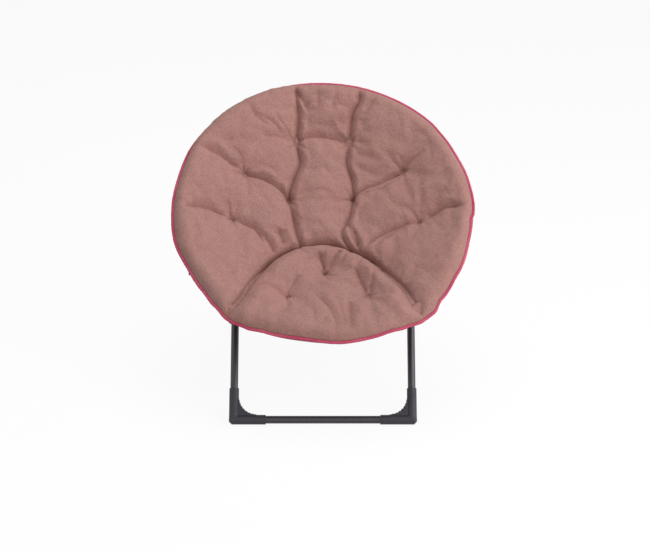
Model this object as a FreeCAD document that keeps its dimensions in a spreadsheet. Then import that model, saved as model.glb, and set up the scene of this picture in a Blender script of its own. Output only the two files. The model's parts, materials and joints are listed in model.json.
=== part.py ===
import FreeCAD, Part
import math
import os

# Folding saucer chair: a tilted round rim carried by two crossed leg frames.
# Frame: origin on the floor midway between the two ground rails, +Z up, the sitter faces -Y, +X to
# the right as seen from the front. The rim and everything on it is drawn flat, in the rim's own
# frame, and is then tilted into place: X across, Y up the slope towards the back, Z square to the rim.

doc = FreeCAD.newDocument("saucer_chair")
sheet = doc.addObject("Spreadsheet::Sheet", "Sizes")
V = FreeCAD.Vector
Turn = FreeCAD.Rotation
Place = FreeCAD.Placement
acrossX, alongY, alongZ = V(1, 0, 0), V(0, 1, 0), V(0, 0, 1)

# Driving dimensions, in millimetres and degrees
dimensions = {
    "rim_radius": 380.0,            # centre line of the round rim tube
    "rim_tube_radius": 10.0,
    "rim_tilt": 34.3,
    "rim_centre_height": 477.0,
    "rim_centre_back": 2.0,         # rim centre behind the middle of the two rails
    "leg_tube_radius": 10.0,
    "tube_wall": 1.2,
    "foot_spread": 574.0,           # front rail to rear rail
    "inner_leg_half": 230.0,        # half the spacing of the uprights that stand in front
    "outer_leg_half": 260.0,        # half the spacing of the uprights that stand behind
    "leg_end_reach": 7.5,           # tube past its pin
    "leg_cap_thickness": 2.0,
    "leg_cap_stem": 3.0,            # cap's stem inside the tube
    "back_pin_along": 280.0,        # pin of the inner legs, up the slope from the rim's centre
    "front_pin_along": 243.0,       # pin of the outer legs, down the slope from the rim's centre
    "pin_drop": 20.0,               # leg pins below the rim tube's centre line
    "hinge_along": 160.0,           # rim hinge, down the slope from the rim's centre
    "hinge_drop": 24.0,
    "hinge_setback": 26.0,          # rim tube ends from the hinge pin
    "hinge_eye_radius": 9.0,
    "hinge_plate": 4.0,
    "hinge_gap": 0.6,               # between the two hinge plates
    "collar_radius": 12.5,
    "collar_on_tube": 18.0,
    "collar_past_tube": 5.0,
    "plate_root_past": 2.0,         # root of a hinge plate, past the tube's end
    "plate_root_drop": 3.0,
    "ear_thickness": 3.0,
    "ear_radius": 9.0,
    "ear_root_radius": 8.0,
    "ear_root_drop": 2.0,
    "ear_gap": 0.3,                 # between an ear and the leg beside it
    "rivet_radius": 3.0,
    "rivet_clearance": 0.05,
    "rivet_head_radius": 6.5,
    "rivet_head_height": 2.5,
    "head_gap": 0.1,                # under each rivet head
    "spacer_radius": 8.0,
    "foot_radius": 12.5,
    "foot_arm": 82.0,
    "foot_inner_radius": 46.0,
    "foot_web": 15.0,
    "foot_flat": 1.0,               # flat under each foot, cut off its round
    "foot_chamfer": 7.0,
    "foot_socket_start": 24.0,      # tubes stop this far from the corner's centre
    "foot_rib": 2.4,
    "foot_rib_proud": 1.2,
    "foot_rib_length": 16.0,
    "foot_rib_count": 7.0,
    "socket_clearance": 0.05,
    "bowl_depth": 100.0,            # under side of the cushion below the rim's plane, at the middle
    "cushion_thickness": 38.0,
    "crown_height": 35.0,           # cushion's roll above the rim's plane
    "roll_width": 68.0,             # roll, inwards from the rim tube's centre line
    "crown_inset": 10.0,            # crest of the roll, inside that line
    "bowl_lip": 6.0,                # level lip between the bowl and the rim tube
    "cover_gap": 0.8,               # between soft pieces and the tubes
    "sling_thickness": 1.6,
    "sling_gap": 0.5,
    "sling_slack": 0.2,             # the sling is this much thicker under the bowl
    "piping_radius": 4.0,
    "piping_gap": 0.3,
    "split_along": 150.0,           # seat and back cushions meet here, down the slope from the centre
    "split_gap": 0.6,
    "tuft_ball_radius": 30.0,
    "tuft_depth": 14.0,
    "channel_radius": 22.0,
    "channel_depth": 7.0,
    "button_radius": 8.0,
    "button_height": 6.0,
    "tie_radius": 1.2,
    "tie_clearance": 0.5,
    "tie_hole_under": 75.0,         # tie holes, below and above the bowl's top
    "tie_hole_over": 15.0,
    "tuft_back_radius": 9.0,
    "tuft_back_height": 2.0,
    "slot_length": 60.0,            # slots in the sleeve round the ears
    "slot_depth": 50.0,
    "slot_past_pin": 12.0,
    "room_round_hinge": 4.0,        # free length at each end of a rim hinge
    "cut_past": 1.0,                # cuts run this far past the faces that they open
}

# Where the tufts lie on the bowl, across and up the slope from its centre
back_tufts = [(70, 235), (83, 73), (207, 136), (242, -12)]
seat_tufts_paired = [(102, -248)]
seat_tuft_centre = (0, -164)
# The two pressed channels run down the back through the tufts, right side, mirrored for the left
back_channel = [(76, 330), (70, 235), (83, 73), (58, -70)]
# Roll over the rim tube: place across it from the tube's centre line, and share of the crown's height
roll_outside = ((6, 0.78), (12, 0.4))
roll_inside = (-38, 0.62)
# How steeply the two sides of the cushion turn up towards the rim
top_power = 1.1
under_power = 1.25
under_shares = (0, 0.2, 0.4, 0.6, 0.75, 0.88, 1)
top_shares = (0, 0.25, 0.5, 0.75, 0.95)
# Angles round the rim tube's section, from straight outwards
cushion_seat = (35, 175)
sleeve_start, sleeve_lower_start = 187, 194


def fill_sheet(values):
    """Write one row for each value, with its name as the alias."""
    row = 1
    while sheet.getContents("A%d" % row):
        row += 1
    for name, value in values.items():
        sheet.set("A%d" % row, name)
        sheet.set("B%d" % row, repr(round(value, 6)))
        sheet.setAlias("B%d" % row, name)
        row += 1
    doc.recompute()


def size(name):
    return float(sheet.get(name))


fill_sheet(dimensions)


# Places that follow from the driving dimensions, in the side view's (Y, Z) or the rim's own frame
def rim_point(along, drop):
    """Side view place of a point on the rim's frame: along the slope, and below the rim's plane."""
    tilt = math.radians(size("rim_tilt"))
    y = size("rim_centre_back") + along * math.cos(tilt) + drop * math.sin(tilt)
    z = size("rim_centre_height") + along * math.sin(tilt) - drop * math.cos(tilt)
    return y, z


def crossing(foot_a, top_a, foot_b, top_b):
    """Point where two straight legs cross in side view."""
    ay, az = top_a[0] - foot_a[0], top_a[1] - foot_a[1]
    by, bz = top_b[0] - foot_b[0], top_b[1] - foot_b[1]
    dy, dz = foot_b[0] - foot_a[0], foot_b[1] - foot_a[1]
    share = (dy * bz - dz * by) / (ay * bz - az * by)
    return foot_a[0] + share * ay, foot_a[1] + share * az


def rim_half_width(along):
    return math.sqrt(size("rim_radius") ** 2 - along ** 2)


def rim_angle(along):
    """Angle round the rim, in degrees from +X, of the right-hand point this far up the slope."""
    return math.degrees(math.asin(along / size("rim_radius")))


foot_height = size("foot_radius") - size("foot_flat")
front_foot = (-size("foot_spread") / 2, foot_height)
rear_foot = (size("foot_spread") / 2, foot_height)
back_pin = rim_point(size("back_pin_along"), size("pin_drop"))
front_pin = rim_point(-size("front_pin_along"), size("pin_drop"))
cross = crossing(front_foot, back_pin, rear_foot, front_pin)
back_end_angle = rim_angle(size("hinge_setback") - size("hinge_along"))
front_end_angle = rim_angle(-size("hinge_setback") - size("hinge_along"))
collar_angle = math.degrees(size("collar_past_tube") / size("rim_radius"))
back_collar_inside = (size("rim_radius") - size("collar_radius")) * math.cos(math.radians(back_end_angle))
front_collar_outside = ((size("rim_radius") + size("collar_radius"))
                        * math.cos(math.radians(front_end_angle + collar_angle)))


def leg_length(foot, top):
    return math.hypot(top[0] - foot[0], top[1] - foot[1])


worked_out = {
    "foot_height": foot_height,
    "front_leg_pin": leg_length(front_foot, back_pin),
    "rear_leg_pin": leg_length(rear_foot, front_pin),
    "front_leg_cross": leg_length(front_foot, cross),
    "rear_leg_cross": leg_length(rear_foot, cross),
    "front_leg_lean": math.degrees(math.atan2(back_pin[1] - front_foot[1], back_pin[0] - front_foot[0])),
    "rear_leg_lean": math.degrees(math.atan2(front_pin[1] - rear_foot[1], front_pin[0] - rear_foot[0])),
    "back_end_angle": back_end_angle,
    "front_end_angle": front_end_angle,
    "hinge_plane": (back_collar_inside + front_collar_outside) / 2,
    "bowl_radius": size("rim_radius") - size("rim_tube_radius") - size("cover_gap") - size("bowl_lip"),
    "piping_ring": (size("rim_radius") + size("rim_tube_radius") + size("cover_gap")
                    + size("sling_thickness") + size("piping_gap") + size("piping_radius")),
}
fill_sheet(worked_out)


# Placements of the frames that the pieces are drawn in
def rim_frame():
    origin = V(0, size("rim_centre_back"), size("rim_centre_height"))
    return Place(origin, Turn(acrossX, size("rim_tilt")))


def front_leg_frame():
    return Place(V(0, *front_foot), Turn(acrossX, size("front_leg_lean")))


def rear_leg_frame():
    return Place(V(0, *rear_foot), Turn(acrossX, size("rear_leg_lean")))


# Small makers: every size goes in as an expression on the sheet
def bind(obj, **expressions):
    for prop, text in expressions.items():
        obj.setExpression(prop, text)
    return obj


def at(obj, x, y, z, turn=None):
    """Place an object; each of x, y and z is an expression on the sheet."""
    obj.Placement = Place(V(0, 0, 0), turn or Turn())
    for axis, text in (("x", x), ("y", y), ("z", z)):
        obj.setExpression("Placement.Base.%s" % axis, str(text))
    return obj


def cylinder(name, radius, height):
    return bind(doc.addObject("Part::Cylinder", name), Radius=radius, Height=height)


def rod_x(name, radius, start, length, y, z):
    """Round bar along X from start, at y and z."""
    return at(cylinder(name, radius, length), start, y, z, Turn(alongY, 90))


def rod_y(name, radius, start, length, x, z="0"):
    """Round bar along Y from start, at x and z."""
    return at(cylinder(name, radius, length), x, start, z, Turn(acrossX, -90))


def box(name, length, width, height):
    return bind(doc.addObject("Part::Box", name), Length=length, Width=width, Height=height)


def ring(name, radius, tube, sweep):
    """Part of a round ring about the rim's centre; sweep is in degrees from +X."""
    return bind(doc.addObject("Part::Torus", name), Radius1=radius, Radius2=tube, Angle3=sweep)


def fuse(name, shapes):
    result = doc.addObject("Part::MultiFuse", name)
    result.Shapes = shapes
    return result


def cut(name, base, tools):
    result = doc.addObject("Part::Cut", name)
    result.Base = base
    result.Tool = tools[0] if len(tools) == 1 else fuse(name + "_tools", tools)
    return result


def solid_feature(name, shape):
    result = doc.addObject("Part::Feature", name)
    result.Shape = shape
    return result


nodes = []


def finish_node(obj, label, frame):
    """Name the piece and stand it in its frame."""
    obj.Label = label
    obj.Placement = frame
    nodes.append(obj)
    return obj


sides = (("left", -1), ("right", 1))


# Straight tubes of the leg frames
def leg_tube(label, side, half, pin, cross_at, frame):
    """Upright of a leg frame, with its cross holes for the crossing rivet and the top pin."""
    x = "%d * Sizes.%s" % (side, half)
    start = "Sizes.foot_socket_start"
    length = "Sizes.%s + Sizes.leg_end_reach - Sizes.foot_socket_start" % pin
    outer = rod_y(label + "_outer", "Sizes.leg_tube_radius", start, length, x)
    inner = rod_y(label + "_bore", "Sizes.leg_tube_radius - Sizes.tube_wall", start, length, x)
    hole = "Sizes.rivet_radius + Sizes.rivet_clearance"
    holes = []
    for part, where in (("pin_hole", pin), ("cross_hole", cross_at)):
        first = "%s - Sizes.leg_tube_radius - Sizes.cut_past" % x
        through = "2 * Sizes.leg_tube_radius + 2 * Sizes.cut_past"
        holes.append(rod_x("%s_%s" % (label, part), hole, first, through, "Sizes." + where, "0"))
    return finish_node(cut(label + "_tube", outer, [inner] + holes), label, frame)


def ground_rail(label, half, foot):
    """Tube along the floor between the two corner feet of a leg frame."""
    first = "Sizes.foot_socket_start - Sizes.%s" % half
    length = "2 * Sizes.%s - 2 * Sizes.foot_socket_start" % half
    outer = rod_x(label + "_outer", "Sizes.leg_tube_radius", first, length, "0", "0")
    inner = rod_x(label + "_bore", "Sizes.leg_tube_radius - Sizes.tube_wall", first, length, "0", "0")
    return finish_node(cut(label + "_tube", outer, [inner]), label, Place(V(0, *foot), Turn()))


# Moulded corner feet, drawn for the right side and mirrored for the left
def foot_ribs(label, half):
    """Short grip ribs fanned over the hollow inside curve of a corner foot."""
    ribs = []
    count = int(size("foot_rib_count"))
    centre = size("foot_radius") + size("foot_inner_radius")
    reach = size("foot_inner_radius") - size("foot_rib_proud")
    for index in range(count):
        angle = 90.0 * (index + 1) / (count + 1)
        rib = box("%s_rib_%d" % (label, index + 1), "Sizes.foot_rib_length", "Sizes.foot_rib",
                  "Sizes.foot_web + 2 * Sizes.foot_rib_proud")
        turn = Turn(alongZ, -angle)
        start = V(size(half) - centre, centre, 0) + turn.multVec(V(reach, -size("foot_rib") / 2, 0))
        start.z = -size("foot_web") / 2 - size("foot_rib_proud")
        rib.Placement = Place(start, turn)
        ribs.append(rib)
    return ribs


def corner_foot(label, half, lean):
    """Moulded elbow that joins an upright to its ground rail, webbed inside, flat underneath."""
    x = "Sizes.%s" % half
    upright = rod_y(label + "_upright", "Sizes.foot_radius", "0", "Sizes.foot_arm", x)
    arm = rod_x(label + "_arm", "Sizes.foot_radius", x + " - Sizes.foot_arm",
                "Sizes.foot_arm + Sizes.foot_radius", "0", "0")
    bevelled = doc.addObject("Part::Chamfer", label + "_bevelled")
    bevelled.Base = arm
    doc.recompute()
    outer_x = size(half) + size("foot_radius")
    outer_edge = [index + 1 for index, edge in enumerate(arm.Shape.Edges)
                  if abs(edge.BoundBox.XMin - outer_x) < 0.01 and abs(edge.BoundBox.XMax - outer_x) < 0.01]
    bevel = size("foot_chamfer")
    bevelled.Edges = [(outer_edge[0], bevel, bevel)]
    corner = "Sizes.foot_radius + Sizes.foot_inner_radius"
    web = at(box(label + "_web", corner, corner, "Sizes.foot_web"), "%s - (%s)" % (x, corner), "0",
             "-Sizes.foot_web / 2")
    hollow = at(cylinder(label + "_hollow", "Sizes.foot_inner_radius",
                         "Sizes.foot_web + 2 * Sizes.cut_past"),
                "%s - (%s)" % (x, corner), corner, "-Sizes.foot_web / 2 - Sizes.cut_past")
    webbed = cut(label + "_webbed", web, [hollow])
    body = fuse(label + "_body", [upright, bevelled, webbed] + foot_ribs(label, half))
    bore = "Sizes.leg_tube_radius + Sizes.socket_clearance"
    upright_bore = rod_y(label + "_upright_bore", bore, "Sizes.foot_socket_start", "Sizes.foot_arm", x)
    arm_bore = rod_x(label + "_arm_bore", bore, x + " - Sizes.foot_socket_start - Sizes.foot_arm",
                     "Sizes.foot_arm", "0", "0")
    floor = box(label + "_floor", "4 * Sizes.foot_arm", "4 * Sizes.foot_arm", "Sizes.foot_arm")
    level = Place(V(0, 0, 0), Turn(acrossX, -lean))
    arm_length = size("foot_arm")
    corner_of_floor = V(size(half) - 2 * arm_length, -2 * arm_length, -size("foot_height") - arm_length)
    floor.Placement = level.multiply(Place(corner_of_floor, Turn()))
    return cut(label + "_foot", body, [upright_bore, arm_bore, floor])


def corner_feet(label, half, lean, frame):
    right = corner_foot(label, half, lean)
    left = doc.addObject("Part::Mirroring", label + "_mirrored")
    left.Source = right
    left.Normal = acrossX
    whole = doc.addObject("Part::Compound", label + "_right_copy")
    whole.Links = [right]
    finish_node(whole, label + "_right", frame)
    mirrored = doc.addObject("Part::Compound", label + "_left_copy")
    mirrored.Links = [left]
    finish_node(mirrored, label + "_left", frame)


def leg_caps(label, half, pin, frame):
    """Flat plugs in the top ends of the two uprights."""
    caps = []
    for word, side in sides:
        x = "%d * Sizes.%s" % (side, half)
        top = "Sizes.%s + Sizes.leg_end_reach" % pin
        lid = rod_y("%s_%s_lid" % (label, word), "Sizes.leg_tube_radius", top,
                    "Sizes.leg_cap_thickness", x)
        stem_radius = "Sizes.leg_tube_radius - Sizes.tube_wall - Sizes.socket_clearance"
        stem = rod_y("%s_%s_stem" % (label, word), stem_radius, top + " - Sizes.leg_cap_stem",
                     "Sizes.leg_cap_stem + Sizes.leg_cap_thickness / 2", x)
        caps.append(fuse("%s_%s" % (label, word), [lid, stem]))
    return finish_node(fuse(label + "_pair", caps), label, frame)


# Rivets, spacers and ears
def rivet(name, first, last, y, z, heads=(True, True)):
    """Rivet along X from first to last, with a low head outside each marked end."""
    length = "(%s) - (%s)" % (last, first)
    parts = [rod_x(name + "_shank", "Sizes.rivet_radius", first, length, y, z)]
    starts = ("(%s) - Sizes.rivet_head_height" % first, last)
    for end, (start, headed) in enumerate(zip(starts, heads)):
        if headed:
            parts.append(rod_x("%s_head_%d" % (name, end + 1), "Sizes.rivet_head_radius", start,
                               "Sizes.rivet_head_height", y, z))
    return fuse(name, parts)


def mirrored_span(side, near, far):
    """Start and end along X of something that lies from near to far, on the given side."""
    if side > 0:
        return near, far
    return "-(%s)" % far, "-(%s)" % near


def rivet_pair(label, near, far, y, z, frame, heads=(True, True)):
    """The same rivet at both sides; heads are named inner, then outer."""
    rivets = []
    for word, side in sides:
        first, last = mirrored_span(side, near, far)
        marked = heads if side > 0 else heads[::-1]
        rivets.append(rivet("%s_%s" % (label, word), first, last, y, z, marked))
    return finish_node(fuse(label + "_pair", rivets), label, frame)


def crossing_spacers(label, frame):
    """Nylon washers that keep the crossed uprights apart."""
    washers = []
    near = "Sizes.inner_leg_half + Sizes.leg_tube_radius"
    far = "Sizes.outer_leg_half - Sizes.leg_tube_radius"
    for word, side in sides:
        first, last = mirrored_span(side, near, far)
        name = "%s_%s" % (label, word)
        length = "(%s) - (%s)" % (last, first)
        disc = rod_x(name + "_disc", "Sizes.spacer_radius", first, length, "Sizes.front_leg_cross", "0")
        hole = rod_x(name + "_hole", "Sizes.rivet_radius + Sizes.rivet_clearance", first, length,
                     "Sizes.front_leg_cross", "0")
        washers.append(cut(name, disc, [hole]))
    return finish_node(fuse(label + "_pair", washers), label, frame)


def strap(name, side, near, thickness, pin, pin_radius, root, root_radius):
    """Flat plate square to X with round ends, from a pin to a root; pin and root are (Y, Z) places."""
    first, last = mirrored_span(side, near, "%s + %s" % (near, thickness))
    eye = rod_x(name + "_eye", pin_radius, first, thickness, repr(pin[0]), repr(pin[1]))
    foot = rod_x(name + "_foot", root_radius, first, thickness, repr(root[0]), repr(root[1]))
    narrow = "min(%s; %s)" % (pin_radius, root_radius)
    reach = math.hypot(root[0] - pin[0], root[1] - pin[1])
    bar = box(name + "_bar", thickness, repr(reach), "2 * " + narrow)
    slope = Turn(acrossX, math.degrees(math.atan2(root[1] - pin[1], root[0] - pin[0])))
    half = min(size(text.replace("Sizes.", "")) for text in (pin_radius, root_radius))
    corner = slope.multVec(V(0, 0, -half))
    at(bar, first, repr(pin[0] + corner.y), repr(pin[1] + corner.z), slope)
    return fuse(name, [eye, foot, bar])


# The rim's tubes, with the ears that the legs are pinned to
def ear(name, side, half, pin):
    """Ear under the rim tube, on the outer side of a leg's top end, with its rivet hole."""
    near = "Sizes.%s + Sizes.leg_tube_radius + Sizes.ear_gap" % half
    middle = size(half) + size("leg_tube_radius") + size("ear_gap") + size("ear_thickness") / 2
    along = math.copysign(rim_half_width(middle), pin[0])
    root = (along, -size("ear_root_drop"))
    plate = strap(name, side, near, "Sizes.ear_thickness", pin, "Sizes.ear_radius", root,
                  "Sizes.ear_root_radius")
    first, last = mirrored_span(side, near, near + " + Sizes.ear_thickness")
    hole = rod_x(name + "_hole", "Sizes.rivet_radius + Sizes.rivet_clearance",
                 first + " - Sizes.cut_past", "Sizes.ear_thickness + 2 * Sizes.cut_past",
                 repr(pin[0]), repr(pin[1]))
    return plate, hole


def rim_tube(label, half, pin, start, sweep):
    outer = ring(label + "_outer", "Sizes.rim_radius", "Sizes.rim_tube_radius", sweep)
    bore = ring(label + "_bore", "Sizes.rim_radius", "Sizes.rim_tube_radius - Sizes.tube_wall", sweep)
    for piece in (outer, bore):
        piece.Placement = Place(V(0, 0, 0), Turn(alongZ, start))
    ears, holes = [], []
    for word, side in sides:
        plate, hole = ear("%s_ear_%s" % (label, word), side, half, pin)
        ears.append(plate)
        holes.append(hole)
    with_ears = fuse(label + "_with_ears", [outer] + ears)
    return finish_node(cut(label + "_tube", with_ears, [bore] + holes), label, rim_frame())


# Rim hinge: a collar on each tube end carries a flat plate, and the plates lie side by side on a pin
def arc_span(side, low, high):
    """Start angle and sweep of an arc given for the right side, mirrored for the left."""
    start = low if side > 0 else 180.0 - high
    return start, high - low


def turned_ring(name, radius, tube, side, low, high):
    start, sweep = arc_span(side, low, high)
    piece = ring(name, radius, tube, repr(sweep))
    piece.Placement = Place(V(0, 0, 0), Turn(alongZ, start))
    return piece


def knuckle(label, side, end_angle, way, near):
    """Collar and plate on one tube end; way is +1 up the slope, from the hinge to the back."""
    on_tube = math.degrees(size("collar_on_tube") / size("rim_radius"))
    bore_reach = 2.0 * on_tube
    spans = [sorted((end_angle - way * collar_angle, end_angle + way * on_tube)),
             sorted((end_angle, end_angle + way * bore_reach))]
    collar = turned_ring(label + "_collar", "Sizes.rim_radius", "Sizes.collar_radius", side, *spans[0])
    bore = turned_ring(label + "_bore", "Sizes.rim_radius",
                       "Sizes.rim_tube_radius + Sizes.socket_clearance", side, *spans[1])
    pin = (-size("hinge_along"), -size("hinge_drop"))
    root = (pin[0] + way * (size("hinge_setback") + size("plate_root_past")), -size("plate_root_drop"))
    plate = strap(label + "_plate", side, near, "Sizes.hinge_plate", pin, "Sizes.hinge_eye_radius", root,
                  "Sizes.ear_root_radius")
    first, last = mirrored_span(side, near, near + " + Sizes.hinge_plate")
    hole = rod_x(label + "_hole", "Sizes.rivet_radius + Sizes.rivet_clearance",
                 first + " - Sizes.cut_past", "Sizes.hinge_plate + 2 * Sizes.cut_past",
                 repr(pin[0]), repr(pin[1]))
    body = fuse(label + "_body", [collar, plate])
    return finish_node(cut(label + "_knuckle", body, [bore, hole]), label, rim_frame())


# Soft pieces: one bowl section, revolved about the rim's centre and parted at the split
dish_radius = size("rim_radius") - size("roll_width")
crest_radius = size("rim_radius") - size("crown_inset")
rest_depth = size("bowl_depth") - size("cushion_thickness")


def top_height(radius):
    """Height of the cushion's top over the rim's plane, before tufting."""
    if radius < dish_radius:
        return -rest_depth * (1 - (radius / dish_radius) ** 2) ** top_power
    return size("crown_height") * (radius - dish_radius) / (crest_radius - dish_radius)


def under_height(radius, drop=0.0):
    share = max(0.0, 1 - (radius / size("bowl_radius")) ** 2)
    return -size("bowl_depth") * share ** under_power - drop


def spline(points):
    curve = Part.BSplineCurve()
    curve.interpolate([V(radius, 0, height) for radius, height in points])
    return curve.toShape()


def around_tube(gap, degrees):
    """Point beside the rim tube's section, at this gap and angle from straight outwards."""
    reach = size("rim_tube_radius") + gap
    angle = math.radians(degrees)
    return size("rim_radius") + reach * math.cos(angle), reach * math.sin(angle)


def arc_round_tube(gap, first, last):
    ends = [around_tube(gap, angle) for angle in (first, (first + last) / 2, last)]
    return Part.Arc(*[V(radius, 0, height) for radius, height in ends]).toShape()


def line(first, last):
    return Part.makeLine(V(first[0], 0, first[1]), V(last[0], 0, last[1]))


def revolved(edges, seam):
    """Turn a section about the rim's centre, with the seam line at this angle round the rim."""
    face = Part.Face(Part.Wire(Part.__sortEdges__(edges)))
    face.rotate(V(0, 0, 0), alongZ, seam)
    return face.revolve(V(0, 0, 0), alongZ, 360)


def under_points(drop):
    last = size("bowl_radius") - size("bowl_lip")
    return [(share * last, under_height(share * last, drop)) for share in under_shares]


def cushion_section(seam):
    """Padded dish with a round roll over the rim tube."""
    under = under_points(0.0)
    inner = [(share * dish_radius, top_height(share * dish_radius)) for share in top_shares]
    crown = size("crown_height")
    outer_end, inner_end = cushion_seat
    roll = [(size("rim_radius") + across, share * crown) for across, share in (roll_inside,) + roll_outside]
    roll.insert(1, (crest_radius, crown))
    roll.append(around_tube(size("cover_gap"), outer_end))
    return revolved([
        spline(under), line(under[-1], around_tube(size("cover_gap"), inner_end)),
        arc_round_tube(size("cover_gap"), inner_end, outer_end),
        spline(inner + roll), line(inner[0], under[0])], seam)


def sling_section(seam):
    """Fabric bowl under the cushion, turned round the rim tube as a sleeve."""
    gap = size("cover_gap")
    thick = size("sling_thickness")
    upper = under_points(size("sling_gap"))
    lower = under_points(size("sling_gap") + thick + size("sling_slack"))
    return revolved([
        spline(upper), line(upper[-1], around_tube(gap, sleeve_start)),
        arc_round_tube(gap, sleeve_start, 360),
        line(around_tube(gap, 360), around_tube(gap + thick, 360)),
        arc_round_tube(gap + thick, 360, sleeve_lower_start),
        line(around_tube(gap + thick, sleeve_lower_start), lower[-1]),
        spline(lower), line(upper[0], lower[0])], seam)


def tuft_frames(tufts):
    """Frame of each tuft on both sides: on the bowl's top, with Z square to it."""
    frames = []
    step = 0.5
    for x, y in tufts:
        radius = math.hypot(x, y)
        slope = (top_height(radius + step) - top_height(radius - step)) / (2 * step)
        for side in ((1, -1) if x else (1,)):
            normal = V(-slope * side * x / radius, -slope * y / radius, 1)
            frames.append(Place(V(side * x, y, top_height(radius)), Turn(alongZ, normal)))
    return frames


def through_depth(frame):
    """How far below a tuft's frame the sling's outside lies, along the frame's own Z."""
    down = frame.Rotation.multVec(V(0, 0, -1))
    reach = 0.0
    step = 0.25
    drop = size("sling_gap") + size("sling_thickness") + size("sling_slack")
    point = frame.Base
    while point.z > under_height(math.hypot(point.x, point.y), drop):
        reach += step
        point = frame.Base + down * reach
    return reach


def tuft_cuts(label, frames):
    """Round dimples that the buttons pull into the cushion."""
    cuts = []
    for index, frame in enumerate(frames):
        ball = bind(doc.addObject("Part::Sphere", "%s_dimple_%d" % (label, index + 1)),
                    Radius="Sizes.tuft_ball_radius")
        lift = size("tuft_ball_radius") - size("tuft_depth")
        ball.Placement = frame.multiply(Place(V(0, 0, lift), Turn()))
        cuts.append(ball)
    return cuts


def tie_holes(label, frames):
    """Holes for the ties, through the cushion and the sling."""
    holes = []
    for index, frame in enumerate(frames):
        hole = cylinder("%s_tie_hole_%d" % (label, index + 1), "Sizes.tie_radius + Sizes.tie_clearance",
                        "Sizes.tie_hole_under + Sizes.tie_hole_over")
        hole.Placement = frame.multiply(Place(V(0, 0, -size("tie_hole_under")), Turn()))
        holes.append(hole)
    return holes


def channel_cuts(label):
    """Two shallow channels pressed down the back between its tufts."""
    cuts = []
    lift = size("channel_radius") - size("channel_depth")
    for word, side in sides:
        points = [V(side * x, y, top_height(math.hypot(x, y)) + lift) for x, y in back_channel]
        for index, (first, last) in enumerate(zip(points, points[1:])):
            run = last - first
            bar = cylinder("%s_%s_run_%d" % (label, word, index + 1), "Sizes.channel_radius",
                           repr(run.Length))
            bar.Placement = Place(first, Turn(alongZ, run))
            cuts.append(bar)
        for index, point in enumerate(points[1:]):
            ball = bind(doc.addObject("Part::Sphere", "%s_%s_bend_%d" % (label, word, index + 1)),
                        Radius="Sizes.channel_radius")
            ball.Placement = Place(point, Turn())
            cuts.append(ball)
    return cuts


def half_space(name, back):
    """Everything on one side of the split between the seat and the back."""
    reach = "2 * Sizes.rim_radius"
    half = box(name, "2 * " + reach, reach, reach)
    edge = "-Sizes.split_along + Sizes.split_gap / 2"
    if not back:
        edge = "-Sizes.split_along - Sizes.split_gap / 2 - " + reach
    return at(half, "-" + reach, edge, "-Sizes.rim_radius")


def common(name, base, tool):
    result = doc.addObject("Part::Common", name)
    result.Base = base
    result.Tool = tool
    return result


def hinge_room(label):
    """Space left free for the rim hinges, both sides."""
    rooms = []
    room_on_tube = size("collar_on_tube") + size("room_round_hinge") / 2
    on_tube = math.degrees(room_on_tube / size("rim_radius"))
    for word, side in sides:
        name = "%s_room_%s" % (label, word)
        rooms.append(turned_ring(name, "Sizes.rim_radius", "Sizes.collar_radius + Sizes.cover_gap", side,
                                 front_end_angle - on_tube, back_end_angle + on_tube))
        reach = "Sizes.hinge_gap / 2 + Sizes.hinge_plate + Sizes.rivet_head_height + Sizes.cover_gap"
        near, far = mirrored_span(side, "Sizes.hinge_plane - (%s)" % reach,
                                  "Sizes.hinge_plane + (%s)" % reach)
        long = "2 * (Sizes.hinge_setback + Sizes.hinge_eye_radius + Sizes.room_round_hinge)"
        tall = "Sizes.hinge_drop + Sizes.hinge_eye_radius + Sizes.ear_root_radius"
        plates = box(name + "_plates", "(%s) - (%s)" % (far, near), long, tall)
        at(plates, near, "-Sizes.hinge_along - (%s) / 2" % long,
           "-Sizes.hinge_drop - Sizes.hinge_eye_radius - Sizes.cover_gap")
        rooms.append(plates)
    return rooms


def ear_slots(label, half, pin_along, back):
    """Slots in the sleeve where the ears come through."""
    slots = []
    near = "Sizes.%s + Sizes.leg_tube_radius + Sizes.ear_gap - Sizes.cover_gap" % half
    far = near + " + Sizes.ear_thickness + 2 * Sizes.cover_gap"
    for word, side in sides:
        first, last = mirrored_span(side, near, far)
        slot = box("%s_slot_%s" % (label, word), "(%s) - (%s)" % (last, first), "Sizes.slot_length",
                   "Sizes.slot_depth")
        start = "Sizes.%s - Sizes.slot_past_pin" % pin_along
        if not back:
            start = "-Sizes.%s - Sizes.slot_length + Sizes.slot_past_pin" % pin_along
        at(slot, first, start, "-Sizes.slot_depth + Sizes.cover_gap")
        slots.append(slot)
    return slots


def soft_node(label, shape, back, *cuts):
    """Half of a turned shape, with one group of cuts taken from it after another."""
    base = solid_feature(label + "_whole", shape)
    rest = common(label + "_half", base, half_space(label + "_space", back))
    for index, tools in enumerate(cuts):
        rest = cut("%s_cut_%d" % (label, index + 1), rest, tools)
    return finish_node(rest, label, rim_frame())


def piping(label, back):
    whole = bind(doc.addObject("Part::Torus", label + "_ring"), Radius1="Sizes.piping_ring",
                 Radius2="Sizes.piping_radius")
    return finish_node(common(label + "_half", whole, half_space(label + "_space", back)), label,
                       rim_frame())


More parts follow.
